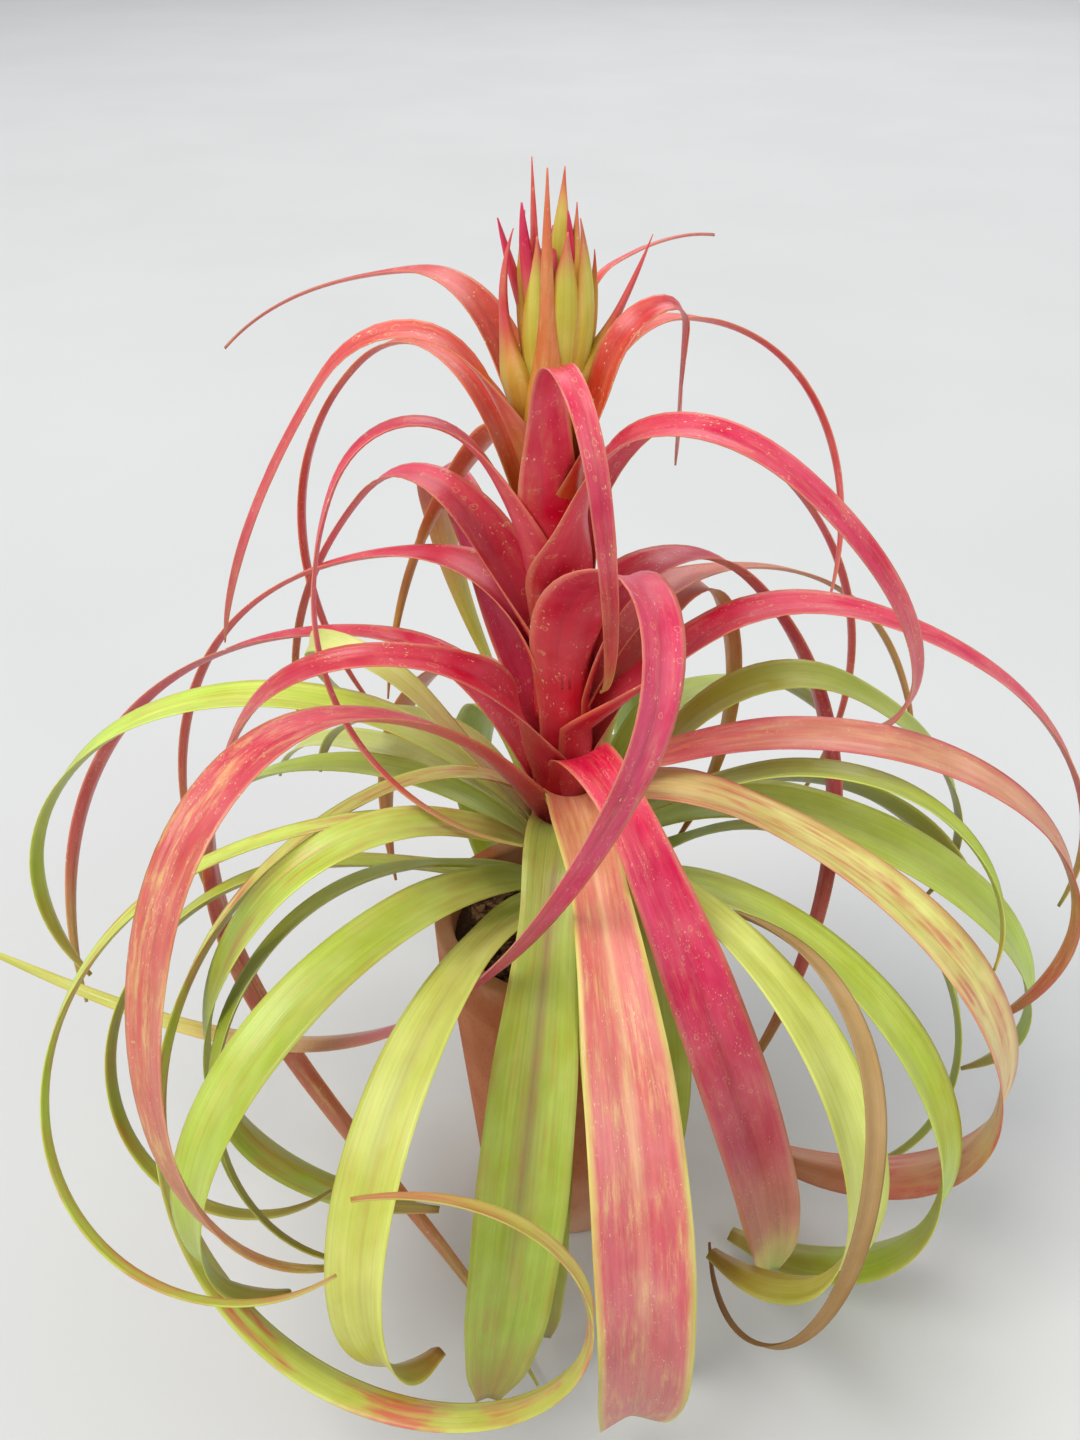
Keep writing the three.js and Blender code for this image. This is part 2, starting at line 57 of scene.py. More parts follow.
ROSETTE_FOOT = -6
ROSETTE_RISE = 1.75
ROSETTE_PITCH = 30
ROSETTE_STEEPEN = 1.4
ROSETTE_LEVELS = 30
ROSETTE_COLUMNS = (
    "level", "az", "long", "wide", "arch", "at", "curl", "roll", "twist", "tint", "shape",
)
# the darker green tint of some leaves is painted shade, for leaves that lie in shade
ROSETTE_LEAVES = [
    (4, 330, 295, 23, 30, 0.15, 190, 0, 0, "green", "front"),
    (1, 15, 260, 16, 30, 0.2, 160, -40, 50, "green"),
    (2, 190, 270, 16, -20, 0.2, 260, 10, 50, "olive"),
    (5, 305, 170, 22, 90, 0.15, 70, -10, 10, "green", "broad"),
    (3, 320, 320, 8, 40, 0.35, 190, -50, 70, "dry"),
    (5, 30, 180, 20, 20, 0.15, 100, -10, -50, "olive"),
    (6, 205, 220, 15, 0, 0.1, 190, 20, 40, "olive"),
    (7, 135, 210, 14, 50, 0.05, 60, 0, -20, "pale"),
    (8, 235, 250, 19, 0, 0.15, 190, -20, 30, "green", "broad"),
    (9, 310, 250, 20, 20, 0.1, 200, 0, -10, "yellow", "front"),
    (10, 55, 190, 17, 40, 0.25, 60, 0, -30, "olive"),
    (11, 165, 280, 14, 30, 0.1, 170, -20, 80, "green"),
    (12, 350, 270, 23, 40, 0.15, 130, 0, 30, "green"),
    (13, 210, 310, 11, -20, 0.3, 260, -10, 90, "green"),
    (14, 225, 280, 16, 40, 0.3, 200, -40, 80, "green", "broad"),
    (15, 345, 180, 14, -10, 0.25, 160, 0, -20, "green"),
    (16, 155, 130, 14, 30, 0.25, 100, -20, 20, "pale"),
    (17, 175, 270, 19, 10, 0.15, 170, 0, 10, "green"),
    (22, 230, 350, 16, 50, 0.45, 160, 0, 20, "red"),
    (19, 5, 250, 16, 60, 0.3, 100, 0, 30, "olive"),
    (19, 185, 260, 8, 120, 0.35, 20, 0, -150, "pale"),
    (20, 265, 230, 30, 110, 0.1, 50, 0, -20, "green", "front"),
    (22, 330, 340, 24, 70, 0.05, 200, 10, 0, "peach", "front"),
    (23, 200, 480, 13, 100, 0, 350, 0, 130, "yellow"),
    (24, 280, 240, 31, 120, 0.1, 50, 0, 20, "green", "front"),
    (25, 340, 260, 16, 50, 0, 180, 20, -20, "peach"),
    (26, 155, 310, 11, 50, 0.15, 140, 0, 40, "red"),
    (26, 278, 268, 29, 130, 0, 140, 0, 0, "pink", "front"),
    (29, 240, 470, 10, 110, 0.2, 170, -80, 110, "red"),
    (29, 280, 265, 24, 120, 0.15, 60, 20, 0, "red", "front"),
    (4, 245, 240, 20, 0, 0.15, 190, 0, 10, "yellow", "front"),
    (1, 265, 190, 16, 80, 0.15, 60, 0, 0, "olive", "broad"),
    (2, 100, 180, 21, 60, 0.2, 60, 0, 10, "olive"),
    (8, 80, 180, 21, 60, 0.2, 90, 0, 0, "green"),
    (13, 115, 220, 20, 70, 0.2, 110, 0, -20, "green"),
    (18, 70, 230, 20, 80, 0.2, 90, 0, 20, "green"),
    (22, 125, 210, 12, 70, 0.2, 110, 0, 10, "peach"),
]

SPIKE_FOOT = 53
SPIKE_RISE = 6
SPIKE_COLUMNS = (
    "level", "az", "pitch", "long", "wide", "arch", "at", "curl", "roll", "twist", "tint",
)
SPIKE_LEAVES = [
    (0, 40, 60, 190, 12, 90, 0.35, 110, 0, 0, "peach"),
    (1, 125, 60, 200, 17, 110, 0.5, 70, 0, -30, "pink"),
    (2, 0, 50, 270, 16, 40, 0.25, 110, 0, 10, "red"),
    (3, 40, 60, 230, 9, 50, 0.15, 100, 0, -20, "peach"),
    (4, 30, 80, 310, 11, 100, 0.15, 160, 0, -50, "red"),
    (5, 150, 80, 280, 9, 80, 0.1, 130, 0, 20, "red"),
    (6, 305, 80, 450, 13, 150, 0.15, 130, -10, -110, "pink"),
    (7, 150, 60, 210, 10, 90, 0.3, 60, 0, -10, "red"),
    (8, 55, 80, 300, 9, 90, 0.2, 120, -30, 30, "red"),
    (9, 285, 80, 290, 11, 80, 0.3, 160, 40, 50, "red"),
    (10, 195, 80, 240, 8, 100, 0.3, 150, -10, 50, "red"),
    (11, 260, 80, 240, 8, 140, 0.4, 90, 20, 20, "red"),
    (12, 145, 75, 270, 7, 80, 0.25, 140, 0, -10, "coral"),
    (13, 110, 75, 150, 6, 110, 0.2, 80, 20, 30, "peach"),
    (13, 320, 80, 190, 6, 150, 0.4, 0, 20, 170, "coral"),
    (15, 210, 70, 230, 6, 120, 0.3, 40, 0, -100, "coral"),
    (16, 40, 80, 200, 6, 60, 0.2, 150, 0, -30, "coral"),
    (17, 145, 70, 170, 5, 70, 0.3, 40, 0, -10, "coral"),
]

# Helpers


def ease(x):
    """Goes softly from 0 to 1 as x does."""
    t = min(1.0, max(0.0, x))
    return t * t * (3 - 2 * t)


def rise(x, start, reach):
    """Goes softly from 0 at start to 1 at start + reach."""
    return ease((x - start) / reach)


def fall(x, start, reach):
    """Goes softly from 1 at start to 0 at start + reach."""
    return 1 - rise(x, start, reach)


def along(stops, x):
    """Reads a value off a short list of (position, value) stops."""
    if x <= stops[0][0]:
        return stops[0][1]
    for (x0, y0), (x1, y1) in zip(stops, stops[1:]):
        if x <= x1:
            return y0 + (x - x0) / (x1 - x0) * (y1 - y0)
    return stops[-1][1]


def smooth_along(stops, x, reach):
    """The value off a list of stops, with its corners rounded."""
    return sum(along(stops, x + reach * k) for k in (-1, -0.5, 0, 0.5, 1)) / 5


def polar(radius, angle, z=0.0):
    return Vector((radius * math.cos(angle), radius * math.sin(angle), z))


def circle(count):
    """The angles of points spread evenly round a circle."""
    return [2 * math.pi * k / count for k in range(count)]


def placed(name, data):
    """A new object in the scene."""
    made = bpy.data.objects.new(name, data)
    bpy.context.scene.collection.objects.link(made)
    return made


def mix(a, b, share):
    return tuple(x + (y - x) * share for x, y in zip(a, b))


def linear(r, g, b):
    """A colour given as 0-255 display values."""
    return tuple((c / 12.92 if c <= 0.04045 else ((c + 0.055) / 1.055) ** 2.4)
                 for c in (r / 255, g / 255, b / 255))


def stem_radius(z):
    return along(STEM_PROFILE, z)


def stem_x(z):
    return STEM_LEAN * max(0.0, z)


def walk(leaf, segments):
    """The middle line of a leaf: its stations, in the same steps as in the solids."""
    a, e = leaf["az"] * DEG, leaf["pitch"] * DEG
    r = stem_radius(leaf["z"]) + leaf.get("clear", ROOT_CLEARANCE)
    at = Vector((stem_x(leaf["z"]) + r * math.cos(a), r * math.sin(a), PLANT_FOOT + leaf["z"]))
    direction = Vector((math.cos(e) * math.cos(a), math.cos(e) * math.sin(a), math.sin(e)))
    side = Vector((-math.sin(a), math.cos(a), 0))
    up = direction.cross(side)

    def bend_at(s):
        arch = leaf["arch"] * ease((s - leaf["at"]) / ARCH_SHARE + 0.5)
        return arch + leaf["curl"] * s * (0.5 + 0.5 * s)

    def turn_at(s):
        return leaf["roll"] * ease(s / ROLL_SHARE) + leaf["twist"] * s

    stations = [(0.0, at.copy(), direction, side, up)]
    steps = segments * SUBSTEPS
    half = leaf["long"] / steps / 2
    for i in range(steps):
        bend = (bend_at((i + 1) / steps) - bend_at(i / steps)) * DEG
        turn = (turn_at((i + 1) / steps) - turn_at(i / steps)) * DEG
        ahead = direction * math.cos(bend) - up * math.sin(bend)
        lift = up * math.cos(bend) + direction * math.sin(bend)
        at += half * (direction + ahead)
        direction = ahead
        up = lift * math.cos(turn) - side * math.sin(turn)
        side = side * math.cos(turn) + lift * math.sin(turn)
        stations.append(((i + 1) / steps, at.copy(), direction, side, up))
    return stations


def sheath_stations(leaf, depth, count):
    """Stations down the stem below a leaf's root, where its sheath clasps the stem."""
    a = leaf["az"] * DEG
    out = Vector((math.cos(a), math.sin(a), 0))
    side = Vector((-math.sin(a), math.cos(a), 0))
    clear = leaf.get("clear", ROOT_CLEARANCE)
    stations = []
    for i in range(count):
        z = leaf["z"] - depth * (1 - i / count)
        at = Vector((stem_x(z), 0, PLANT_FOOT + z)) + out * (stem_radius(z) + clear)
        e = 90 * DEG + (leaf["pitch"] - 90) * DEG * (i / count)
        direction = out * math.cos(e) + Vector((0, 0, 1)) * math.sin(e)
        stations.append((0.0, at, direction, side, direction.cross(side)))
    return stations


# Leaf outlines, the same as in the solids: (share of the length, share of the width)
ROSETTE_OUTLINE = [
    (0, 0.45), (0.08, 0.65), (0.25, 0.95), (0.4, 1), (0.6, 0.92), (0.8, 0.65), (0.93, 0.35),
    (1, 0.08),
]
BROAD_OUTLINE = [
    (0, 0.35), (0.08, 0.55), (0.25, 0.85), (0.5, 1), (0.75, 0.92), (0.9, 0.62), (1, 0.12),
]
FRONT_OUTLINE = [
    (0, 0.28), (0.08, 0.42), (0.25, 0.64), (0.42, 0.9), (0.6, 1), (0.8, 0.95), (0.92, 0.7),
    (1, 0.25),
]
SPIKE_OUTLINE = [
    (0, 1.7), (0.06, 1.6), (0.14, 1.2), (0.25, 1), (0.45, 0.8), (0.75, 0.55), (0.93, 0.28),
    (1, 0.08),
]
ROSETTE_SHAPES = {"strap": ROSETTE_OUTLINE, "broad": BROAD_OUTLINE, "front": FRONT_OUTLINE}
LEAF_FOLD = [(0, 28), (0.15, 20), (0.5, 12), (1, 22)]
# Sheaths: against the distance from the root in mm, the share of the sheath's own full width and
# the angle it clasps
SPIKE_SHEATH = [
    (-18, 0.8), (0, 0.95), (12, 1), (24, 0.97), (38, 0.84), (55, 0.6), (80, 0.32), (105, 0),
]
SPIKE_CLASP = [(-18, 155), (0, 145), (12, 120), (26, 95), (42, 65), (58, 35), (80, 0)]
SPIKE_SHEATH_SHARE = 2.6  # sheath width as a share of the blade's
SPIKE_SHEATH_LIMITS = (18, 27)
SHEATH_FORWARD = 22  # degrees by which the sheaths at the sides of the spike turn to the front
ROSETTE_SHEATH = [(-14, 0.85), (0, 0.92), (14, 1), (30, 1), (50, 0.84), (80, 0.5), (120, 0)]
ROSETTE_CLASP = [(-14, 140), (0, 115), (12, 85), (30, 50), (50, 25), (70, 0)]
ROSETTE_SHEATH_SHARE = 0.72
NARROW_RED = 18  # red rosette leaves narrower than this have a sheath of the width below
RED_SHEATH = 20
SHEATH_STEPS = 4  # stations of a sheath below its leaf's root
BLADE_ALONE = 0.6  # share of the length past which the sheath adds nothing to the width
LEAF_EDGE = 0.3  # thickness at the edges
LEAF_MIDDLE = 1.0
RIDGE = 0.03  # how softly a blade's two halves meet at its fold
EDGE_WANDER = (0.09, 0.21)  # how far a blade's edges may stray up and down, least and most
ACROSS = 10  # quads across one face of a blade
NO_MARKS = (0.0, 0.0, 0.0)


class Skin:
    """Collects the points, faces, colours and blade coordinates of one piece."""

    def __init__(self):
        self.points, self.faces, self.tints = [], [], []
        self.blade, self.marks, self.flush = [], [], []

    def add(self, point, tint, uv=(0.0, 0.0), marks=NO_MARKS, flush=0.0):
        self.points.append(point * MM)
        self.tints.append(tint)
        self.blade.append(uv)
        self.marks.append(marks)
        self.flush.append(flush)
        return len(self.points) - 1

    def join(self, a, b):
        """Joins a ring of points to the next ring."""
        for k in range(len(a)):
            n = (k + 1) % len(a)
            self.faces.append((a[k], a[n], b[n], b[k]))

    def join_to_tip(self, ring, tip):
        """Joins a ring of points to one point."""
        for k in range(len(ring)):
            self.faces.append((ring[k], ring[(k + 1) % len(ring)], tip))

    def close(self, rings):
        """Joins rings of points, each to the next, and caps the two ends."""
        for a, b in zip(rings, rings[1:]):
            self.join(a, b)
        self.faces.append(tuple(rings[0][::-1]))
        self.faces.append(tuple(rings[-1]))

    def build(self, name, material, smooth=True):
        mesh = bpy.data.meshes.new(name)
        mesh.from_pydata([tuple(p) for p in self.points], [], self.faces)
        tint = mesh.color_attributes.new("tint", "FLOAT_COLOR", "POINT")
        marks = mesh.attributes.new("marks", "FLOAT_VECTOR", "POINT")
        for i, colour in enumerate(self.tints):
            tint.data[i].color = (*colour, 1)
            marks.data[i].vector = self.marks[i]
        flush = mesh.attributes.new("flush", "FLOAT", "POINT")
        flush.data.foreach_set("value", self.flush)
        uv = mesh.uv_layers.new(name="blade")
        for loop in mesh.loops:
            uv.data[loop.index].uv = self.blade[loop.vertex_index]
        mesh.polygons.foreach_set("use_smooth", [smooth] * len(mesh.polygons))
        mesh.materials.append(material)
        mesh.update()
        return placed(name, mesh)


def section(width, fold, clasp):
    """Points across a blade, from one edge to the other: (sideways, upward, t)."""
    points = []
    v_out, v_up = width / 2 * math.cos(fold), width / 2 * math.sin(fold)
    low, high = math.sqrt(RIDGE), math.sqrt(1 + RIDGE)
    for k in range(ACROSS + 1):
        t = 2 * k / ACROSS - 1
        soft = (math.sqrt(t * t + RIDGE) - low) / (high - low)
        x, y = v_out * t, v_up * soft
        if clasp > 1:
            phi = clasp * DEG
            radius = width / phi
            cx = radius * math.sin(t * phi / 2)
            cy = radius * (1 - math.cos(t * phi / 2))
            share = ease(clasp / 60)
            x, y = x + (cx - x) * share, y + (cy - y) * share
        points.append((x, y, t))
    return points


def leaf_stations(leaf, below):
    """A leaf's stations from the foot of its sheath up, each with its distance from the root."""
    segments = max(12, round((abs(leaf["arch"]) + abs(leaf["curl"])) / TURN_PER_SEGMENT))
    stations = walk(leaf, segments)
    distances = [s * leaf["long"] for s, *_ in stations]
    if below > 0:
        stations = sheath_stations(leaf, below, SHEATH_STEPS) + stations
        distances = [-below * (1 - i / SHEATH_STEPS) for i in range(SHEATH_STEPS)] + distances
    return zip(stations, distances)


def blade_width(leaf, outline, sheath, sheath_wide, s, d):
    """The wider of the blade and its sheath, with a soft change from one to the other."""
    blade_wide = leaf["wide"] * smooth_along(outline, s, 0.025)
    if d > BLADE_ALONE * leaf["long"]:
        return blade_wide
    base_wide = sheath_wide * smooth_along(sheath, d, 5)
    over = blade_wide - base_wide
    width = (blade_wide + base_wide + math.sqrt(over * over + 4)) / 2
    return min(width, max(blade_wide, base_wide) * (1 + 0.3 * rise(d, 0, 10)))


def blade_skin(skin, leaf, outline, sheath, clasp, sheath_wide, index, below, forward=0.0):
    """One leaf as a closed thin shell with rounded edges."""
    rng = random.Random(1000 + index)
    phase, wave = rng.uniform(0, 6.28), rng.uniform(*EDGE_WANDER)
    rows = []
    for (s, at, direction, side, up), d in leaf_stations(leaf, below):
        at = at + up * (leaf.get("lift", 0.0) * rise(s, 0.1, 0.2))
        if forward:
            swing = Matrix.Rotation(forward * DEG * fall(d, 5, 55), 3, "Z")
            pivot = Vector((stem_x(at.z - PLANT_FOOT), 0, 0))
            at = pivot + swing @ (at - pivot)
            side, up = swing @ side, swing @ up
        width = blade_width(leaf, outline, sheath, sheath_wide, s, d)
        fold = smooth_along(LEAF_FOLD, s, 0.03) * DEG
        bend = smooth_along(clasp, d, 4)
        sway = wave * math.sin(d / 23 + phase) * rise(d, 0, 60)
        top, bottom = [], []
        for x, y, t in section(width, fold, bend):
            half_thick = (LEAF_MIDDLE + (LEAF_EDGE - LEAF_MIDDLE) * abs(t) ** 1.5) / 2
            middle = at + side * x + up * (y + sway * t)
            # the face normal of the section, for even thickness round the clasp
            normal = up
            if bend > 1:
                angle = t * bend * DEG / 2 * ease(bend / 60)
                normal = up * math.cos(angle) - side * math.sin(angle)
            uv = (t * leaf["wide"] / 200 + 0.5, d / 100 + 0.37 * index)
            for face, row, sign in (("upper", top, 1), ("lower", bottom, -1)):
                tint, marks, flush = leaf_colour(leaf, s, t, face)
                row.append(skin.add(middle + normal * half_thick * sign, tint, uv, marks, flush))
        rows.append(top + bottom[::-1])
    ring = len(rows[0])
    for a, b in zip(rows, rows[1:]):
        for k in range(ring):
            n = (k + 1) % ring
            skin.faces.append((a[n], a[k], b[k], b[n]))
    for row, flip in ((rows[0], False), (rows[-1], True)):
        half = ring // 2
        for k in range(half - 1):
            quad = (row[k], row[k + 1], row[ring - 2 - k], row[ring - 1 - k])
            skin.faces.append(quad[::-1] if flip else quad)


# Colours

CREAM = linear(236, 224, 160)
COLOURS = {
    # tint: stops of (share of the length, upper face, lower face)
    "green": [
        (0, (196, 190, 124), (190, 182, 116)), (0.08, (196, 210, 104), (180, 192, 86)),
        (0.4, (194, 216, 86), (170, 190, 68)), (0.8, (182, 206, 74), (162, 184, 60)),
        (1, (180, 160, 72), (164, 146, 64)),
    ],
    "yellow": [
        (0, (206, 200, 136), (198, 190, 128)), (0.1, (208, 216, 112), (190, 198, 94)),
        (0.5, (211, 219, 106), (190, 199, 86)), (0.85, (203, 203, 90), (184, 182, 76)),
        (1, (186, 140, 70), (172, 130, 64)),
    ],
    # a darker copy of the green: painted shade, for leaves that lie in shade
    "olive": [
        (0, (190, 186, 118), (180, 174, 108)), (0.12, (180, 192, 74), (162, 172, 62)),
        (0.6, (176, 190, 64), (152, 164, 52)), (1, (160, 146, 60), (144, 130, 52)),
    ],
    "pale": [
        (0, (208, 200, 150), (190, 180, 130)), (0.3, (204, 208, 122), (178, 182, 92)),
        (0.8, (188, 196, 88), (170, 176, 74)), (1, (170, 146, 74), (156, 134, 64)),
    ],
    "peach": [
        (0, (206, 92, 84), (200, 84, 80)), (0.12, (214, 86, 86), (210, 88, 84)),
        (0.4, (218, 130, 100), (210, 116, 88)), (0.75, (212, 174, 100), (196, 150, 84)),
        (1, (178, 120, 66), (166, 108, 60)),
    ],
    "red": [
        (0, (200, 54, 62), (204, 54, 66)), (0.1, (212, 44, 74), (214, 56, 80)),
        (0.5, (216, 58, 90), (218, 78, 106)), (0.78, (210, 86, 90), (208, 94, 94)),
        (0.92, (192, 150, 84), (182, 140, 80)), (1, (170, 176, 70), (160, 162, 66)),
    ],
    "pink": [
        (0, (206, 58, 70), (208, 58, 70)), (0.1, (214, 48, 88), (214, 60, 88)),
        (0.35, (212, 62, 104), (216, 84, 122)), (0.55, (206, 84, 110), (208, 104, 120)),
        (0.7, (206, 164, 104), (200, 158, 104)), (0.85, (206, 206, 96), (196, 196, 92)),
        (1, (204, 208, 90), (196, 198, 86)),
    ],
    "coral": [
        (0, (214, 180, 88), (214, 176, 84)), (0.07, (220, 140, 76), (220, 146, 80)),
        (0.17, (220, 84, 68), (220, 84, 72)), (0.5, (222, 74, 80), (222, 86, 92)),
        (0.85, (214, 84, 90), (210, 86, 92)),
        (1, (206, 110, 84), (196, 100, 78)),
    ],
    "dry": [
        (0, (178, 156, 108), (170, 148, 102)), (0.3, (180, 146, 96), (168, 134, 88)),
        (0.7, (166, 128, 80), (152, 116, 72)), (1, (140, 100, 62), (130, 92, 58)),
    ],
    # the broad front leaf: salmon between yellow-green edges
    "flamed": [
        (0, (204, 166, 108), (198, 156, 104)), (0.08, (216, 148, 106), (206, 142, 106)),
        (0.3, (212, 116, 100), (206, 114, 100)), (0.6, (202, 102, 106), (198, 104, 102)),
        (0.85, (196, 112, 106), (190, 112, 102)), (0.95, (186, 148, 88), (178, 142, 84)),
        (1, (172, 170, 66), (162, 160, 62)),
    ],
    # crimson that breaks into salmon and green at its end
    "crimson": [
        (0, (196, 48, 58), (202, 54, 66)), (0.1, (214, 32, 72), (214, 60, 80)),
        (0.4, (220, 44, 90), (214, 76, 96)), (0.65, (212, 84, 106), (206, 100, 104)),
        (0.82, (204, 124, 104), (196, 124, 98)), (0.93, (188, 172, 84), (180, 164, 78)),
        (1, (172, 184, 70), (164, 174, 66)),
    ],
    # pale rose between crimson edges
    "rosy": [
        (0, (204, 84, 80), (204, 70, 76)), (0.12, (218, 104, 104), (212, 66, 86)),
        (0.4, (224, 158, 128), (212, 96, 96)), (0.75, (206, 146, 104), (196, 124, 90)),
        (1, (176, 118, 68), (164, 106, 60)),
    ],
    # yellow-green, flushed with rose toward its end
    "flushed": [
        (0, (204, 150, 110), (200, 140, 104)), (0.08, (212, 192, 122), (204, 182, 110)),
        (0.35, (216, 212, 122), (202, 196, 100)), (0.6, (220, 192, 124), (206, 176, 108)),
        (0.85, (216, 150, 116), (202, 136, 104)), (1, (194, 130, 88), (180, 118, 78)),
    ],
    # red that fades through tan to green
    "fading": [
        (0, (196, 48, 58), (202, 54, 66)), (0.1, (206, 44, 66), (212, 60, 80)),
        (0.4, (208, 58, 78), (212, 78, 92)), (0.62, (204, 110, 92), (200, 112, 92)),
        (0.85, (198, 132, 92), (190, 124, 86)), (0.94, (178, 170, 76), (168, 160, 70)),
        (1, (168, 186, 66), (158, 172, 62)),
    ],
}
RAMPS = {
    name: [(x, linear(*upper), linear(*lower)) for x, upper, lower in stops]
    for name, stops in COLOURS.items()
}
MIDRIB_BLUSH = linear(158, 96, 96)
MIDRIB_RED = linear(168, 24, 56)
EDGE_YELLOW = linear(222, 226, 110)
EDGE_PALE = linear(232, 178, 120)
EDGE_ROSE = linear(214, 84, 92)
ROSY = linear(206, 66, 84)
BUFF = linear(228, 200, 124)
GREENS = ("green", "yellow", "olive", "pale")


def ramp(name, s, face):
    which = 1 if face == "upper" else 2
    stops = RAMPS[name]
    if s <= stops[0][0]:
        return stops[0][which]
    for low, high in zip(stops, stops[1:]):
        if s <= high[0]:
            return mix(low[which], high[which], rise(s, low[0], high[0] - low[0]))
    return stops[-1][which]


def leaf_colour(leaf, s, t, face):
    """Colour of a point of a leaf, its marks (specks, streaks and rings) and its rosy flush."""
    name = leaf.get("paint", leaf["tint"])
    colour = ramp(name, s, face)
    off = abs(t)  # 0 at the midrib, 1 at the edges
    edge = rise(off, 0.86, 0.14)
    specks, streaks, rings = 0.15, 0.0, 0.0
    if name in GREENS:
        colour = mix(colour, EDGE_YELLOW, 0.45 * edge)
        blush = leaf.get("blush", 0.0) * fall(off, 0, 0.3) * rise(s, 0.08, 0.1) * fall(s, 0.5, 0.3)
        colour = mix(colour, MIDRIB_BLUSH, blush)
    elif name == "flamed":
        colour = mix(colour, EDGE_YELLOW, 0.85 * rise(off, 0.84, 0.1))
        colour = mix(colour, CREAM, 0.35 * fall(off, 0, 0.16) * fall(s, 0.5, 0.4))
        colour = mix(colour, MIDRIB_RED, 0.35 * fall(abs(t - 0.06), 0, 0.05) * rise(s, 0, 0.4))
        specks, streaks = 0.9, 0.7
    elif name == "rosy":
        colour = mix(colour, EDGE_ROSE, 0.7 * rise(off, 0.55, 0.4) * fall(s, 0.6, 0.3))
        specks, streaks = 0.9, 0.45
    elif name == "flushed":
        colour = mix(colour, EDGE_ROSE, 0.5 * rise(off, 0.7, 0.3) * fall(s, 0.5, 0.3))
        specks = 0.4
    elif name != "dry":
        colour = mix(colour, EDGE_PALE, 0.4 * edge)
        specks, rings = 1.0, 0.9 * fall(s, 0.55, 0.3)
        streaks = 0.75 * rise(s, 0.12, 0.35) if name == "fading" else 0.22 * rise(s, 0, 0.2)
        if face == "upper" and name != "peach":
            groove = fall(off, 0, 0.12) * rise(s, 0.05, 0.1) * fall(s, 0.6, 0.2)
            colour = mix(colour, MIDRIB_RED, 0.3 * groove)
    shade = leaf.get("shade", 1.0)
    colour = tuple(min(1.0, c * shade) for c in colour)
    return colour, (specks, streaks, rings), leaf.get("flush", 0.0)


# Materials

class Nodes:
    """A short way to wire a node material."""

    def __init__(self, name):
        self.material = bpy.data.materials.new(name)
        self.material.use_nodes = True
        self.tree = self.material.node_tree
        self.shader = self.tree.nodes["Principled BSDF"]

    def node(self, kind, **settings):
        made = self.tree.nodes.new(kind)
        for key, value in settings.items():
            setattr(made, key, value)
        return made

    def put(self, socket, value):
        """Links an output to a socket, or sets a plain value on it."""
        if isinstance(value, bpy.types.NodeSocket):
            self.tree.links.new(value, socket)
        else:
            socket.default_value = value

    def surface(self, **values):
        """Sets the shader's inputs, named with _ for a space."""
        for key, value in values.items():
            self.put(self.shader.inputs[key.replace("_", " ")], value)
        return self.material

    def attribute(self, name, output):
        return self.node("ShaderNodeAttribute", attribute_name=name).outputs[output]

    def place(self):
        """Where a point lies in its object, in metres."""
        return self.node("ShaderNodeTexCoord").outputs["Object"]

    def split(self, vector):
        made = self.node("ShaderNodeSeparateXYZ")
        self.put(made.inputs[0], vector)
        return made.outputs

    def combined(self, operation, a, b):
        made = self.node("ShaderNodeMath", operation=operation)
        self.put(made.inputs[0], a)
        self.put(made.inputs[1], b)
        return made.outputs[0]

    def plus(self, a, b):
        return self.combined("ADD", a, b)

    def times(self, a, b):
        return self.combined("MULTIPLY", a, b)

    def range(self, value, low, high, to_low=0.0, to_high=1.0, kind="SMOOTHSTEP"):
        made = self.node("ShaderNodeMapRange", interpolation_type=kind)
        for socket, x in zip(made.inputs[:5], (value, low, high, to_low, to_high)):
            self.put(socket, x)
        return made.outputs[0]

    def spread(self, value, to_low, to_high):
        """Stretches the middle of a noise evenly between two values."""
        return self.range(value, 0.3, 0.7, to_low, to_high, "LINEAR")

    def mix(self, share, a, b):
        made = self.node("ShaderNodeMix", data_type="RGBA")
        self.put(made.inputs[0], share)
        for socket, x in ((made.inputs[6], a), (made.inputs[7], b)):
            self.put(socket, (*x, 1) if isinstance(x, tuple) else x)
        return made.outputs[2]

    def stretched(self, vector, x, y, z=1.0):
        made = self.node("ShaderNodeMapping")
        self.put(made.inputs["Vector"], vector)
        made.inputs["Scale"].default_value = (x, y, z)
        return made.outputs[0]

    def noise(self, vector, scale, detail=3.0, roughness=0.55):
        made = self.node("ShaderNodeTexNoise")
        self.put(made.inputs["Vector"], vector)
        made.inputs["Scale"].default_value = scale
        made.inputs["Detail"].default_value = detail
        made.inputs["Roughness"].default_value = roughness
        return made.outputs["Fac"]

    def bump(self, height, strength, distance):
        made = self.node("ShaderNodeBump")
        self.put(made.inputs["Height"], height)
        made.inputs["Strength"].default_value = strength
        made.inputs["Distance"].default_value = distance
        self.put(self.shader.inputs["Normal"], made.outputs[0])


def water_rings(n, uv, cloud):
    """Dried water marks: thin pale rings, here and there."""
    wander = n.node("ShaderNodeVectorMath", operation="ADD")
    n.put(wander.inputs[0], n.stretched(uv, 34, 26))
    n.put(wander.inputs[1], n.times(n.noise(n.stretched(uv, 90, 60), 1.0, 2), 0.5))
    cells = n.node("ShaderNodeTexVoronoi")
    n.put(cells.inputs["Vector"], wander.outputs[0])
    cells.inputs["Scale"].default_value = 1.0
    cells.inputs["Randomness"].default_value = 1.0
    away = cells.outputs["Distance"]
    ring = n.times(n.range(away, 0.2, 0.26), n.range(away, 0.26, 0.31, 1.0, 0.0))
    pick = n.node("ShaderNodeSeparateColor")
    n.put(pick.inputs[0], cells.outputs["Color"])
    ring = n.times(ring, n.range(pick.outputs[0], 0.45, 0.55))
    return n.times(ring, n.range(cloud, 0.42, 0.55))


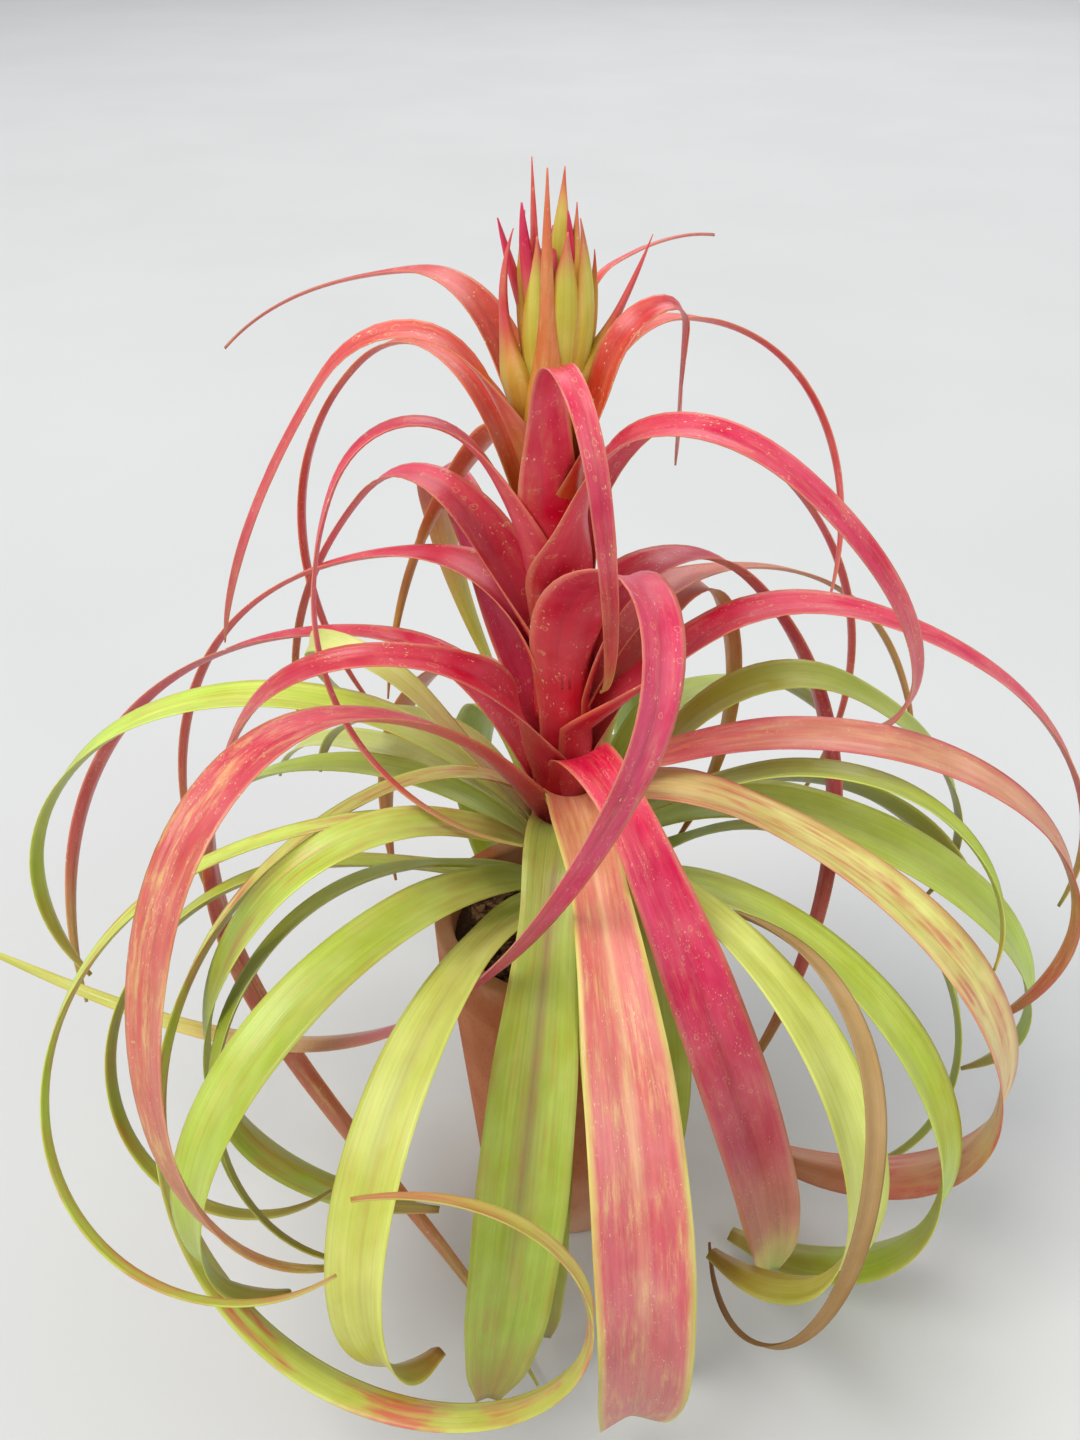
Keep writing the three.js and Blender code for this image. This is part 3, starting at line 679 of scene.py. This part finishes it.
def leaf_material(name, gloss=0.37, dry=False):
    n = Nodes(name)
    tint = n.attribute("tint", "Color")
    specks, streaks, rings = n.split(n.attribute("marks", "Vector"))
    flush = n.attribute("flush", "Fac")
    uv = n.node("ShaderNodeUVMap", uv_map="blade").outputs[0]
    # fine lines along the blade
    fine = n.noise(n.stretched(uv, 130, 1.2), 1.0, 3)
    broad = n.noise(n.stretched(uv, 34, 0.8), 1.0, 2)
    cloud = n.noise(n.stretched(uv, 9, 5), 1.0, 3)
    value = n.plus(n.spread(fine, -0.07, 0.07), n.spread(broad, -0.08, 0.08))
    value = n.plus(value, n.spread(cloud, -0.09, 0.09))
    hue = n.node("ShaderNodeHueSaturation")
    n.put(hue.inputs["Color"], tint)
    n.put(hue.inputs["Value"], n.plus(value, 1.0))
    n.put(hue.inputs["Saturation"], n.spread(cloud, 1.06, 0.94))
    colour = hue.outputs[0]
    # rosy flush in long soft lines
    rosy = n.noise(n.stretched(uv, 40, 2.2), 1.0, 4, 0.6)
    patch = n.noise(n.stretched(uv, 9, 3.6), 1.0, 3)
    rosy = n.times(n.range(rosy, 0.36, 0.66), n.range(patch, 0.4, 0.62))
    colour = n.mix(n.times(rosy, flush), colour, ROSY)
    # buff streaks, broken up along the blade
    streak = n.noise(n.stretched(uv, 52, 6.0), 1.0, 6, 0.72)
    drift = n.noise(n.stretched(uv, 10, 4.0), 1.0, 4, 0.6)
    streak = n.times(n.range(streak, 0.42, 0.7), n.range(drift, 0.36, 0.64))
    colour = n.mix(n.times(streak, streaks), colour, BUFF)
    # pale scale specks
    speck = n.noise(n.stretched(uv, 210, 70), 1.0, 2, 0.5)
    crowd = n.noise(n.stretched(uv, 22, 9), 1.0, 3)
    speck = n.times(n.range(speck, 0.63, 0.7), n.range(crowd, 0.45, 0.62))
    colour = n.mix(n.times(speck, n.times(specks, 0.75)), colour, CREAM)
    ring = water_rings(n, uv, cloud)
    colour = n.mix(n.times(ring, n.times(rings, 0.32)), colour, CREAM)
    height = n.plus(n.plus(n.times(fine, 0.6), broad), n.times(cloud, 1.6))
    n.bump(height, 0.6 if dry else 0.4, 0.0005)
    if not dry:
        n.surface(Subsurface_Weight=0.12, Subsurface_Radius=(1.0, 0.5, 0.2),
                  Subsurface_Scale=0.0015)
    return n.surface(Base_Color=colour, Specular_IOR_Level=0.2 if dry else 0.5,
                     Roughness=n.range(cloud, 0.3, 0.7, gloss - 0.06, gloss + 0.1))


def clay_material():
    n = Nodes("terracotta")
    where = n.place()
    height = n.split(where)[2]
    large = n.noise(where, 26, 4)
    grain = n.noise(where, 900, 3)
    turning = n.noise(n.stretched(where, 3, 3, 700), 1.0, 2)
    colour = n.mix(n.range(large, 0.35, 0.65), linear(184, 104, 66), linear(200, 124, 84))
    colour = n.mix(n.times(n.range(grain, 0.55, 0.7), 0.35), colour, linear(150, 84, 56))
    # a pale bloom at the foot and on the rim
    bloom = n.times(n.range(height, 0.05, 0.0), n.range(large, 0.4, 0.6))
    colour = n.mix(n.times(bloom, 0.45), colour, linear(222, 196, 172))
    rim = n.times(n.range(height, 0.122, 0.136), n.range(large, 0.45, 0.6))
    colour = n.mix(n.times(rim, 0.35), colour, linear(218, 184, 156))
    n.bump(n.plus(n.times(turning, 0.8), grain), 0.3, 0.0004)
    return n.surface(Base_Color=colour, Specular_IOR_Level=0.25,
                     Roughness=n.range(grain, 0.3, 0.7, 0.78, 0.94))


def bark_material():
    n = Nodes("bark")
    where = n.place()
    layers = n.noise(n.stretched(where, 300, 300, 1400), 1.0, 4)
    crumb = n.noise(where, 700, 4)
    colour = n.mix(n.range(layers, 0.35, 0.65), n.attribute("tint", "Color"), linear(58, 38, 28))
    colour = n.mix(n.times(n.range(crumb, 0.55, 0.68), 0.5), colour, linear(140, 104, 76))
    n.bump(n.plus(layers, crumb), 0.7, 0.0008)
    return n.surface(Base_Color=colour, Specular_IOR_Level=0.2,
                     Roughness=n.range(crumb, 0.3, 0.7, 0.85, 0.98))


def floor_material():
    n = Nodes("floor")
    faint = n.noise(n.place(), 3, 2)
    colour = n.mix(n.range(faint, 0.3, 0.7), (0.6, 0.6, 0.595), (0.62, 0.62, 0.615))
    return n.surface(Base_Color=colour, Roughness=0.9)


FRESH = leaf_material("leaf_tissue")
DRY = leaf_material("dried_leaf_tissue", 0.75, dry=True)
CLAY = clay_material()
BARK = bark_material()


def keep(piece, slot, *nodes):
    """Puts a piece on the plant's body, in the place of the solids that it dresses."""
    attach(piece, "root")
    if nodes:
        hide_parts(*nodes)


# Leaves

# by number in the rosette
BLUSHED = {22: 0.6, 25: 0.35, 13: 0.15, 4: 0.15, 31: 0.15}
PAINTED = {28: "flamed", 23: "flushed", 26: "rosy", 29: "fading", 19: "fading", 30: "crimson"}
FLUSHED = {
    23: 0.75, 24: 0.8, 14: 0.7, 19: 0.5, 15: 0.4, 26: 0.5, 29: 0.3, 9: 0.2, 18: 0.25, 22: 0.25,
    28: 0.5, 3: 0.4, 37: 0.5, 31: 0.12, 1: 0.12,
}
LIFTED = {16: -1.2, 24: 0.6}  # mm off the middle line, so that a blade clears its neighbour
# by number in the spike: how far a sheath reaches down below its leaf's root, in mm
LOW_SHEATHS = {7: 34.0, 10: 24.0, 12: 20.0}
SPIKE_INDEX = 60  # keeps the spike's random draws and noise apart from the rosette's
SHADES = random.Random(7)


def forward_turn(az):
    """How far a sheath turns toward the front: only those well to one side do."""
    away = (az - 270 + 180) % 360 - 180
    return -math.copysign(SHEATH_FORWARD, away) if 30 < abs(away) < 100 else 0.0


def make_rosette():
    for i, row in enumerate(ROSETTE_LEAVES):
        number = i + 1
        leaf = dict(zip(ROSETTE_COLUMNS, row))
        leaf["z"] = ROSETTE_FOOT + ROSETTE_RISE * leaf["level"]
        leaf["pitch"] = ROSETTE_PITCH + ROSETTE_STEEPEN * leaf["level"]
        share = leaf["level"] / ROSETTE_LEVELS
        leaf["clear"] = LOW_ROOT_CLEARANCE + share * (ROOT_CLEARANCE - LOW_ROOT_CLEARANCE)
        leaf["shade"] = SHADES.uniform(0.9, 1.1)
        leaf["blush"] = BLUSHED.get(number, 0.0)
        leaf["flush"] = FLUSHED.get(number, 0.0)
        leaf["lift"] = LIFTED.get(number, 0.0)
        leaf["paint"] = PAINTED.get(number, leaf["tint"])
        outline = ROSETTE_SHAPES[leaf.get("shape", "strap")]
        sheath_wide = ROSETTE_SHEATH_SHARE * leaf["wide"]
        if leaf["tint"] == "red" and leaf["wide"] < NARROW_RED:
            sheath_wide = RED_SHEATH
        skin = Skin()
        blade_skin(skin, leaf, outline, ROSETTE_SHEATH, ROSETTE_CLASP, sheath_wide, i,
                   5 + 0.3 * leaf["level"])
        dry = leaf["tint"] == "dry"
        name = "dried_leaf" if dry else f"rosette_leaf_{number:02d}"
        keep(skin.build(name + "_blade", DRY if dry else FRESH), "leaf_" + leaf["tint"], name)


def make_spike():
    low, high = SPIKE_SHEATH_LIMITS
    for i, row in enumerate(SPIKE_LEAVES):
        leaf = dict(zip(SPIKE_COLUMNS, row))
        leaf["z"] = SPIKE_FOOT + SPIKE_RISE * leaf["level"]
        leaf["shade"] = SHADES.uniform(0.92, 1.08)
        sheath_wide = min(high, max(low, SPIKE_SHEATH_SHARE * leaf["wide"]))
        skin = Skin()
        blade_skin(skin, leaf, SPIKE_OUTLINE, SPIKE_SHEATH, SPIKE_CLASP, sheath_wide,
                   SPIKE_INDEX + i, LOW_SHEATHS.get(i + 1, 16.0), forward_turn(leaf["az"]))
        name = f"spike_leaf_{i + 1:02d}"
        keep(skin.build(name + "_blade", FRESH), "leaf_" + leaf["tint"], name)


# Stem

COLUMN_STEP = 4
HEAD_FOOT = 160  # the flower head's column stands on the stem's, above the plant's foot
STEM_MARKS = (0.3, 0.2, 0.0)


def column_skin(skin, low, high, sides, tint_at):
    """The stem's round column between two heights above the plant's foot."""
    rings = []
    count = round((high - low) / COLUMN_STEP)
    for j in range(count + 1):
        z = low + (high - low) * j / count
        r = stem_radius(z)
        ring = []
        for k, a in enumerate(circle(sides)):
            p = Vector((stem_x(z) + r * math.cos(a), r * math.sin(a), PLANT_FOOT + z))
            ring.append(skin.add(p, tint_at(z), (k / sides * 0.6, z / 100), STEM_MARKS))
        rings.append(ring)
    skin.close(rings)


# Spears: the flower head's bracts, its flower tips and the axil buds

SPEAR_OUTLINE = [(0, 0.35), (0.12, 0.8), (0.35, 1), (0.7, 0.7), (0.92, 0.3), (1, 0.08)]
BRACT_OUTLINE = [
    (0, 0.8), (0.15, 1), (0.35, 0.98), (0.55, 0.75), (0.75, 0.42), (0.9, 0.16), (1, 0.03),
]
TALL_OUTLINE = [
    (0, 1), (0.15, 1.3), (0.3, 1.15), (0.44, 0.65), (0.56, 0.4), (0.8, 0.24), (1, 0.03),
]
HEAD_SPEARS = [
    {"z": 168, "az": 205, "pitch": 88, "long": 70, "wide": 11, "curl": 0},
    {"z": 166, "az": 190, "pitch": 64, "long": 56, "wide": 13, "curl": -45},
    {"z": 172, "az": 355, "pitch": 60, "long": 52, "wide": 10, "curl": -10},
    {"z": 176, "az": 290, "pitch": 78, "long": 46, "wide": 14, "curl": -5},
    {"z": 174, "az": 330, "pitch": 72, "long": 50, "wide": 12, "curl": -30},
    {"z": 184, "az": 20, "pitch": 80, "long": 42, "wide": 10, "curl": -10},
    {"z": 188, "az": 60, "pitch": 84, "long": 46, "wide": 9, "curl": 0},
    {"z": 178, "az": 155, "pitch": 76, "long": 46, "wide": 10, "curl": -20},
    {"z": 178, "az": 245, "pitch": 80, "long": 42, "wide": 13, "curl": -5},
    {"z": 174, "az": 125, "pitch": 72, "long": 44, "wide": 11, "curl": -25},
    {"z": 170, "az": 35, "pitch": 64, "long": 44, "wide": 9, "curl": -30},
    {"z": 166, "az": 90, "pitch": 70, "long": 50, "wide": 12, "curl": -30},
]
AXIL_BUDS = [
    {"z": 152, "az": 220, "pitch": 60, "long": 20, "wide": 4, "curl": -10},
    {"z": 134, "az": 15, "pitch": 62, "long": 18, "wide": 4, "curl": -10},
]
TAILED = (0, 1, 2)  # the bracts that end in a tail
SPEAR_SUNK = -1.5  # how far a spear's root stands off the stem's surface
SPEAR_SEGMENTS = 8
SPEAR_SIDES = 14
SPEAR_DEPTH = 0.5  # thickness as a share of the width
SPEAR_KEEL = 0.35
BRACT_MARKS = (0.4, 0.25, 0.3)
# the bract that stands in front of the head
FRONT_SPEAR = {"z": 150, "az": 258, "pitch": 86, "long": 87, "wide": 11, "curl": -5, "clear": 2.6}
FRONT_SPEAR_MARKS = (0.5, 0.5, 0.3)
FLOWER_TIPS = 9
TIP_MARKS = (0.2, 0.0, 0.0)
# the thin arched leaf of the head
HEAD_LEAF = {
    "z": 174, "az": 65, "pitch": 50, "long": 115, "wide": 3, "arch": 40, "at": 0.3, "curl": 25,
    "roll": -5, "twist": -10, "clear": SPEAR_SUNK, "tint": "coral",
}
HEAD_LEAF_INDEX = 90


def spear_skin(skin, spear, outline, tint_at, marks):
    """A thick pointed bract, flower tip or bud with a keel down its back."""
    leaf = {"arch": 0, "at": 0.5, "roll": 0, "twist": 0, "clear": SPEAR_SUNK, **spear}
    rings = []
    for s, at, direction, side, up in walk(leaf, SPEAR_SEGMENTS):
        width = spear["wide"] * smooth_along(outline, s, 0.04)
        ring = []
        for a in circle(SPEAR_SIDES):
            x, y = math.cos(a), math.sin(a)
            keel = 1 + SPEAR_KEEL * max(0.0, -y) ** 3
            p = at + side * (width / 2 * x) + up * (SPEAR_DEPTH * width / 2 * y * keel)
            uv = (x * width / 200, s * spear["long"] / 100 + spear["az"] / 50)
            ring.append(skin.add(p, tint_at(s, x), uv, marks))
        rings.append(ring)
    skin.close(rings)


WOODY = linear(150, 120, 80)
STEM_RED = linear(188, 64, 72)
LIME = linear(204, 196, 64)
LIME_PALE = linear(214, 210, 100)
SALMON = linear(216, 104, 66)
MAGENTA = linear(206, 30, 82)
ROSE = linear(216, 62, 84)


# Tints of the stem's column, against the height above the plant's foot


def stem_tint(z):
    return mix(WOODY, STEM_RED, rise(z, -10, 60))


def head_tint(z):
    return mix(LIME, ROSE, rise(z, 175, 40))


# Tints of spears, against the share of the length s and the place across x, -1 to 1


def bract_tint(s, x):
    colour = mix(LIME, LIME_PALE, 0.5 * (1 - abs(x)))
    colour = mix(colour, SALMON, 0.5 * rise(abs(x), 0.5, 0.5) + 0.1 * fall(s, 0, 0.3))
    return mix(colour, ROSE, 0.8 * rise(s, 0.7, 0.25))


def tailed_tint(s, x):
    colour = mix(LIME, SALMON, 0.35 * abs(x))
    return mix(colour, ROSE, 0.9 * rise(s, 0.3, 0.3))


def tall_tint(s, _):
    colour = mix(LIME, SALMON, 0.25 + 0.6 * rise(s, 0.2, 0.3))
    return mix(colour, ROSE, 0.35 * rise(s, 0.6, 0.4))


def flower_tint(s, _):
    return mix(mix(LIME_PALE, ROSE, rise(s, 0, 0.6)), MAGENTA, 0.7 * rise(s, 0.5, 0.35))


def bud_tint(s, _):
    return mix(linear(170, 150, 80), linear(190, 60, 80), rise(s, 0.2, 0.5))


def make_stem():
    skin = Skin()
    column_skin(skin, STEM_PROFILE[0][0], HEAD_FOOT - 0.3, 36, stem_tint)
    for bud in AXIL_BUDS:
        spear_skin(skin, bud, SPEAR_OUTLINE, bud_tint, TIP_MARKS)
    keep(skin.build("stem_column", FRESH), "stem", "stem")


def make_flower_head():
    skin = Skin()
    column_skin(skin, HEAD_FOOT, STEM_PROFILE[-1][0] - 1, 24, head_tint)
    for i, spear in enumerate(HEAD_SPEARS):
        tint = tailed_tint if i in TAILED else bract_tint
        outline = TALL_OUTLINE if i in TAILED else BRACT_OUTLINE
        spear_skin(skin, spear, outline, tint, BRACT_MARKS)
    spear_skin(skin, FRONT_SPEAR, TALL_OUTLINE, tall_tint, FRONT_SPEAR_MARKS)
    rng = random.Random(5)
    for i in range(FLOWER_TIPS):
        tip = {
            "z": 178 + 12 * rng.random(), "az": 360 / FLOWER_TIPS * i + 25 * rng.random(),
            "pitch": 70 + 12 * rng.random(), "long": 30 + 9 * rng.random(),
            "wide": 5.5 + 1.5 * rng.random(), "curl": -20 * rng.random(),
        }
        spear_skin(skin, tip, SPEAR_OUTLINE, flower_tint, TIP_MARKS)
    blade_skin(skin, HEAD_LEAF, SPIKE_OUTLINE, [(0, 1)], [(0, 0)], 0.0, HEAD_LEAF_INDEX, 0.0)
    keep(skin.build("flower_head_bracts", FRESH), "flower_head", "flower_head")


# Pot, potting mix and roots


def turned(profile, sides, name, material):
    """A profile of (radius, height) turned about the vertical axis."""
    mesh = bpy.data.meshes.new(name)
    points, faces = [], []
    for a in circle(sides):
        points += [(r * math.cos(a) * MM, r * math.sin(a) * MM, z * MM) for r, z in profile]
    count = len(profile)
    for k in range(sides):
        n = (k + 1) % sides
        for j in range(count - 1):
            faces.append((k * count + j, n * count + j, n * count + j + 1, k * count + j + 1))
    mesh.from_pydata(points, [], faces)
    work = bmesh.new()
    work.from_mesh(mesh)
    bmesh.ops.remove_doubles(work, verts=work.verts, dist=1e-6)
    bmesh.ops.recalc_face_normals(work, faces=work.faces)
    work.to_mesh(mesh)
    work.free()
    mesh.polygons.foreach_set("use_smooth", [True] * len(mesh.polygons))
    mesh.materials.append(material)
    return placed(name, mesh)


POT_HEIGHT = 136
POT_FOOT_RADIUS = 32
POT_BODY_RADIUS = 43
POT_RIM_RADIUS = 47
POT_RIM_HEIGHT = 20
POT_WALL = 4
POT_FLOOR = 6
POT_SIDES = 96
POT_ROUNDING = 1.6
MIX_TOP = POT_HEIGHT - 9
MIX_FOOT = POT_FLOOR + 0.3
MIX_GAP = 0.3  # between the mix and the pot's wall
MIX_HOLE_RADIUS = 10.5
MIX_HOLE_DEPTH = 8
MIX_SIDES = 64
MIX_RINGS = 12
BARK_CHIPS = 230
CHIP_CORNERS = [
    (-1, -1, -1), (1, -1, -1), (1, 1, -1), (-1, 1, -1),
    (-1, -1, 1), (1, -1, 1), (1, 1, 1), (-1, 1, 1),
]
CHIP_FACES = [(3, 2, 1, 0), (4, 5, 6, 7), (0, 1, 5, 4), (1, 2, 6, 5), (2, 3, 7, 6), (3, 0, 4, 7)]
DARK_MIX = linear(70, 48, 36)
BARKS = (linear(120, 82, 56), linear(96, 64, 44), linear(144, 104, 72), linear(82, 58, 44))
DRY_ROOTS = 26
ROOT_STEPS = 14
ROOT_SIDES = 6
ROOT_BROWN = linear(112, 86, 60)


def inner_radius(z):
    """Radius of the pot's inner wall at a height."""
    slope = (POT_BODY_RADIUS - POT_FOOT_RADIUS) / (POT_HEIGHT - POT_RIM_HEIGHT)
    return POT_FOOT_RADIUS - POT_WALL + slope * z


def rounded(corners, reach, count=5):
    """A profile with each inner corner cut back by reach and rounded."""
    out = [corners[0]]
    for before, here, after in zip(corners, corners[1:], corners[2:]):
        a, b, c = Vector(before), Vector(here), Vector(after)
        cut = min(reach, (a - b).length * 0.45, (c - b).length * 0.45)
        start, end = b + (a - b).normalized() * cut, b + (c - b).normalized() * cut
        for k in range(count + 1):
            t = k / count
            p = start * (1 - t) ** 2 + b * 2 * t * (1 - t) + end * t ** 2
            out.append((p.x, p.y))
    return out + [corners[-1]]


def make_pot():
    band = POT_HEIGHT - POT_RIM_HEIGHT
    corners = [
        (0, 0), (POT_FOOT_RADIUS, 0), (POT_BODY_RADIUS, band), (POT_RIM_RADIUS - 1, band + 0.5),
        (POT_RIM_RADIUS, POT_HEIGHT), (inner_radius(POT_HEIGHT), POT_HEIGHT),
        (inner_radius(POT_FLOOR), POT_FLOOR), (0, POT_FLOOR),
    ]
    keep(turned(rounded(corners, POT_ROUNDING), POT_SIDES, "pot_clay", CLAY), "pot", "pot")


def bark_chip(skin, rng):
    """One rough block of bark, lying at random on the mix."""
    inner = inner_radius(MIX_TOP)
    size = (rng.uniform(5, 12), rng.uniform(3, 7), rng.uniform(1.6, 3.4))
    r = min(11 + (inner - 18) * math.sqrt(rng.random()), inner - 1.5 - size[0] / 2)
    a = rng.uniform(0, 2 * math.pi)
    turn = (Matrix.Rotation(rng.uniform(0, math.pi), 3, "Z")
            @ Matrix.Rotation(rng.uniform(-0.4, 0.4), 3, "X")
            @ Matrix.Rotation(rng.uniform(-0.4, 0.4), 3, "Y"))
    centre = polar(r, a, MIX_TOP + rng.uniform(-0.6, 0.9))
    colour = rng.choice(BARKS)
    corners = []
    for corner in CHIP_CORNERS:
        p = Vector([c * side / 2 * rng.uniform(least, 1)
                    for c, side, least in zip(corner, size, (0.6, 0.6, 0.7))])
        corners.append(skin.add(centre + turn @ p, colour))
    skin.faces += [tuple(corners[i] for i in face) for face in CHIP_FACES]


def make_mix():
    """The mix as a filled body with a dent for the stem, and bark chips on it."""
    rng = random.Random(11)
    skin = Skin()
    angles = circle(MIX_SIDES)
    foot_radius = inner_radius(MIX_FOOT) - MIX_GAP
    top_radius = inner_radius(MIX_TOP) - MIX_GAP
    rings = [[skin.add(polar(foot_radius, a, MIX_FOOT), DARK_MIX) for a in angles]]
    for j in range(MIX_RINGS, 0, -1):
        r = MIX_HOLE_RADIUS + (top_radius - MIX_HOLE_RADIUS) * j / MIX_RINGS
        ring = []
        for a in angles:
            rough = rng.uniform(-0.8, 0.8) if j < MIX_RINGS else -0.6
            ring.append(skin.add(polar(r, a, MIX_TOP + rough), DARK_MIX))
        rings.append(ring)
    for a, b in zip(rings, rings[1:]):
        skin.join(a, b)
    skin.join_to_tip(rings[0][::-1], skin.add(Vector((0, 0, MIX_FOOT)), DARK_MIX))
    skin.join_to_tip(rings[-1], skin.add(Vector((0, 0, MIX_TOP - MIX_HOLE_DEPTH)), DARK_MIX))
    for _ in range(BARK_CHIPS):
        bark_chip(skin, rng)
    keep(skin.build("bark_mix", BARK, smooth=False), "potting_mix", "potting_mix")


def root_skin(skin, path, radius, index):
    """A thin tapering tube along a path."""
    last = len(path) - 1
    rings = []
    for j, p in enumerate(path):
        ahead = (path[min(j + 1, last)] - path[max(j - 1, 0)]).normalized()
        side = ahead.cross(Vector((0.3, 0.2, 1))).normalized()
        up = ahead.cross(side)
        r = radius * (1 - 0.7 * j / last)
        ring = []
        for k, a in enumerate(circle(ROOT_SIDES)):
            q = p + side * (r * math.cos(a)) + up * (r * math.sin(a))
            ring.append(skin.add(q, ROOT_BROWN, (k / ROOT_SIDES * 0.1, j * 0.03 + index)))
        rings.append(ring)
    skin.close(rings)


def make_roots():
    """Thin dry roots that leave the crown, hump a little and come down on the mix."""
    rng = random.Random(23)
    skin = Skin()
    for i in range(DRY_ROOTS):
        a = rng.uniform(0, 2 * math.pi)
        start = rng.uniform(MIX_TOP + 3, PLANT_FOOT - 9)
        r = stem_radius(start - PLANT_FOOT) - 0.6
        drift = rng.uniform(-0.9, 0.9)
        far = rng.uniform(8, 24)
        path = []
        for j in range(ROOT_STEPS + 1):
            t = j / ROOT_STEPS
            hump = 12 * t * (1 - t) * rng.uniform(1, 2)
            sink = (start - MIX_TOP - 1.2) * ease(t * 1.1)
            path.append(polar(r + far * t + 1.5 * math.sin(5 * t + 2 * i) * t,
                              a + drift * t + 0.12 * math.sin(7 * t + i), start + hump - sink))
        root_skin(skin, path, rng.uniform(0.35, 0.6), i)
    keep(skin.build("dry_roots", DRY), "stem")


# Camera, light and floor, in metres

FLOOR_HALF = 8.0
CAMERA_LENS = 35  # this and the sensor's width in millimetres
CAMERA_SENSOR = 36
CAMERA_DOWN = 33  # degrees below the level
CAMERA_AWAY = 0.450
CAMERA_TARGET = (-0.0097, 0, 0.2162)
LIGHT_TARGET = (0, 0, 0.2)
LIGHTS = [
    # name, place, size, watts, colour
    ("key", (-2.2, -1.5, 4.4), 2.6, 190, (1.0, 0.98, 0.95)),
    ("fill", (3.0, -2.6, 2.6), 3.0, 55, (0.95, 0.98, 1.0)),
    ("back", (0.8, 3.6, 3.2), 3.0, 70, (1.0, 1.0, 1.0)),
]
SKY_COLOUR = (0.9, 0.95, 1.0, 1)
SKY_STRENGTH = 0.5


def make_floor():
    floor = bpy.data.meshes.new("floor")
    h = FLOOR_HALF
    floor.from_pydata([(-h, -h, 0), (h, -h, 0), (h, h, 0), (-h, h, 0)], [], [(0, 1, 2, 3)])
    floor.materials.append(floor_material())
    placed("floor", floor)


def make_camera():
    camera = bpy.data.cameras.new("camera")
    camera.lens = CAMERA_LENS
    camera.sensor_width = CAMERA_SENSOR
    camera.clip_start = 0.01
    eye = placed("camera", camera)
    down = CAMERA_DOWN * DEG
    away = Vector((0, -math.cos(down), math.sin(down))) * CAMERA_AWAY
    eye.location = Vector(CAMERA_TARGET) + away
    eye.rotation_euler = (math.pi / 2 - down, 0, 0)
    bpy.context.scene.camera = eye


def make_lights():
    for name, place, size, watts, colour in LIGHTS:
        lamp = bpy.data.lights.new(name, "AREA")
        lamp.size = size
        lamp.energy = watts
        lamp.color = colour
        light = placed(name, lamp)
        light.location = place
        aim = Vector(LIGHT_TARGET) - Vector(place)
        light.rotation_euler = aim.to_track_quat("-Z", "Y").to_euler()
    world = bpy.data.worlds.new("studio")
    world.use_nodes = True
    sky = world.node_tree.nodes["Background"]
    sky.inputs[0].default_value = SKY_COLOUR
    sky.inputs[1].default_value = SKY_STRENGTH
    bpy.context.scene.world = world
    bpy.context.scene.view_settings.view_transform = "Standard"


make_floor()
make_camera()
make_lights()
make_rosette()
make_spike()
make_stem()
make_flower_head()
make_pot()
make_mix()
make_roots()
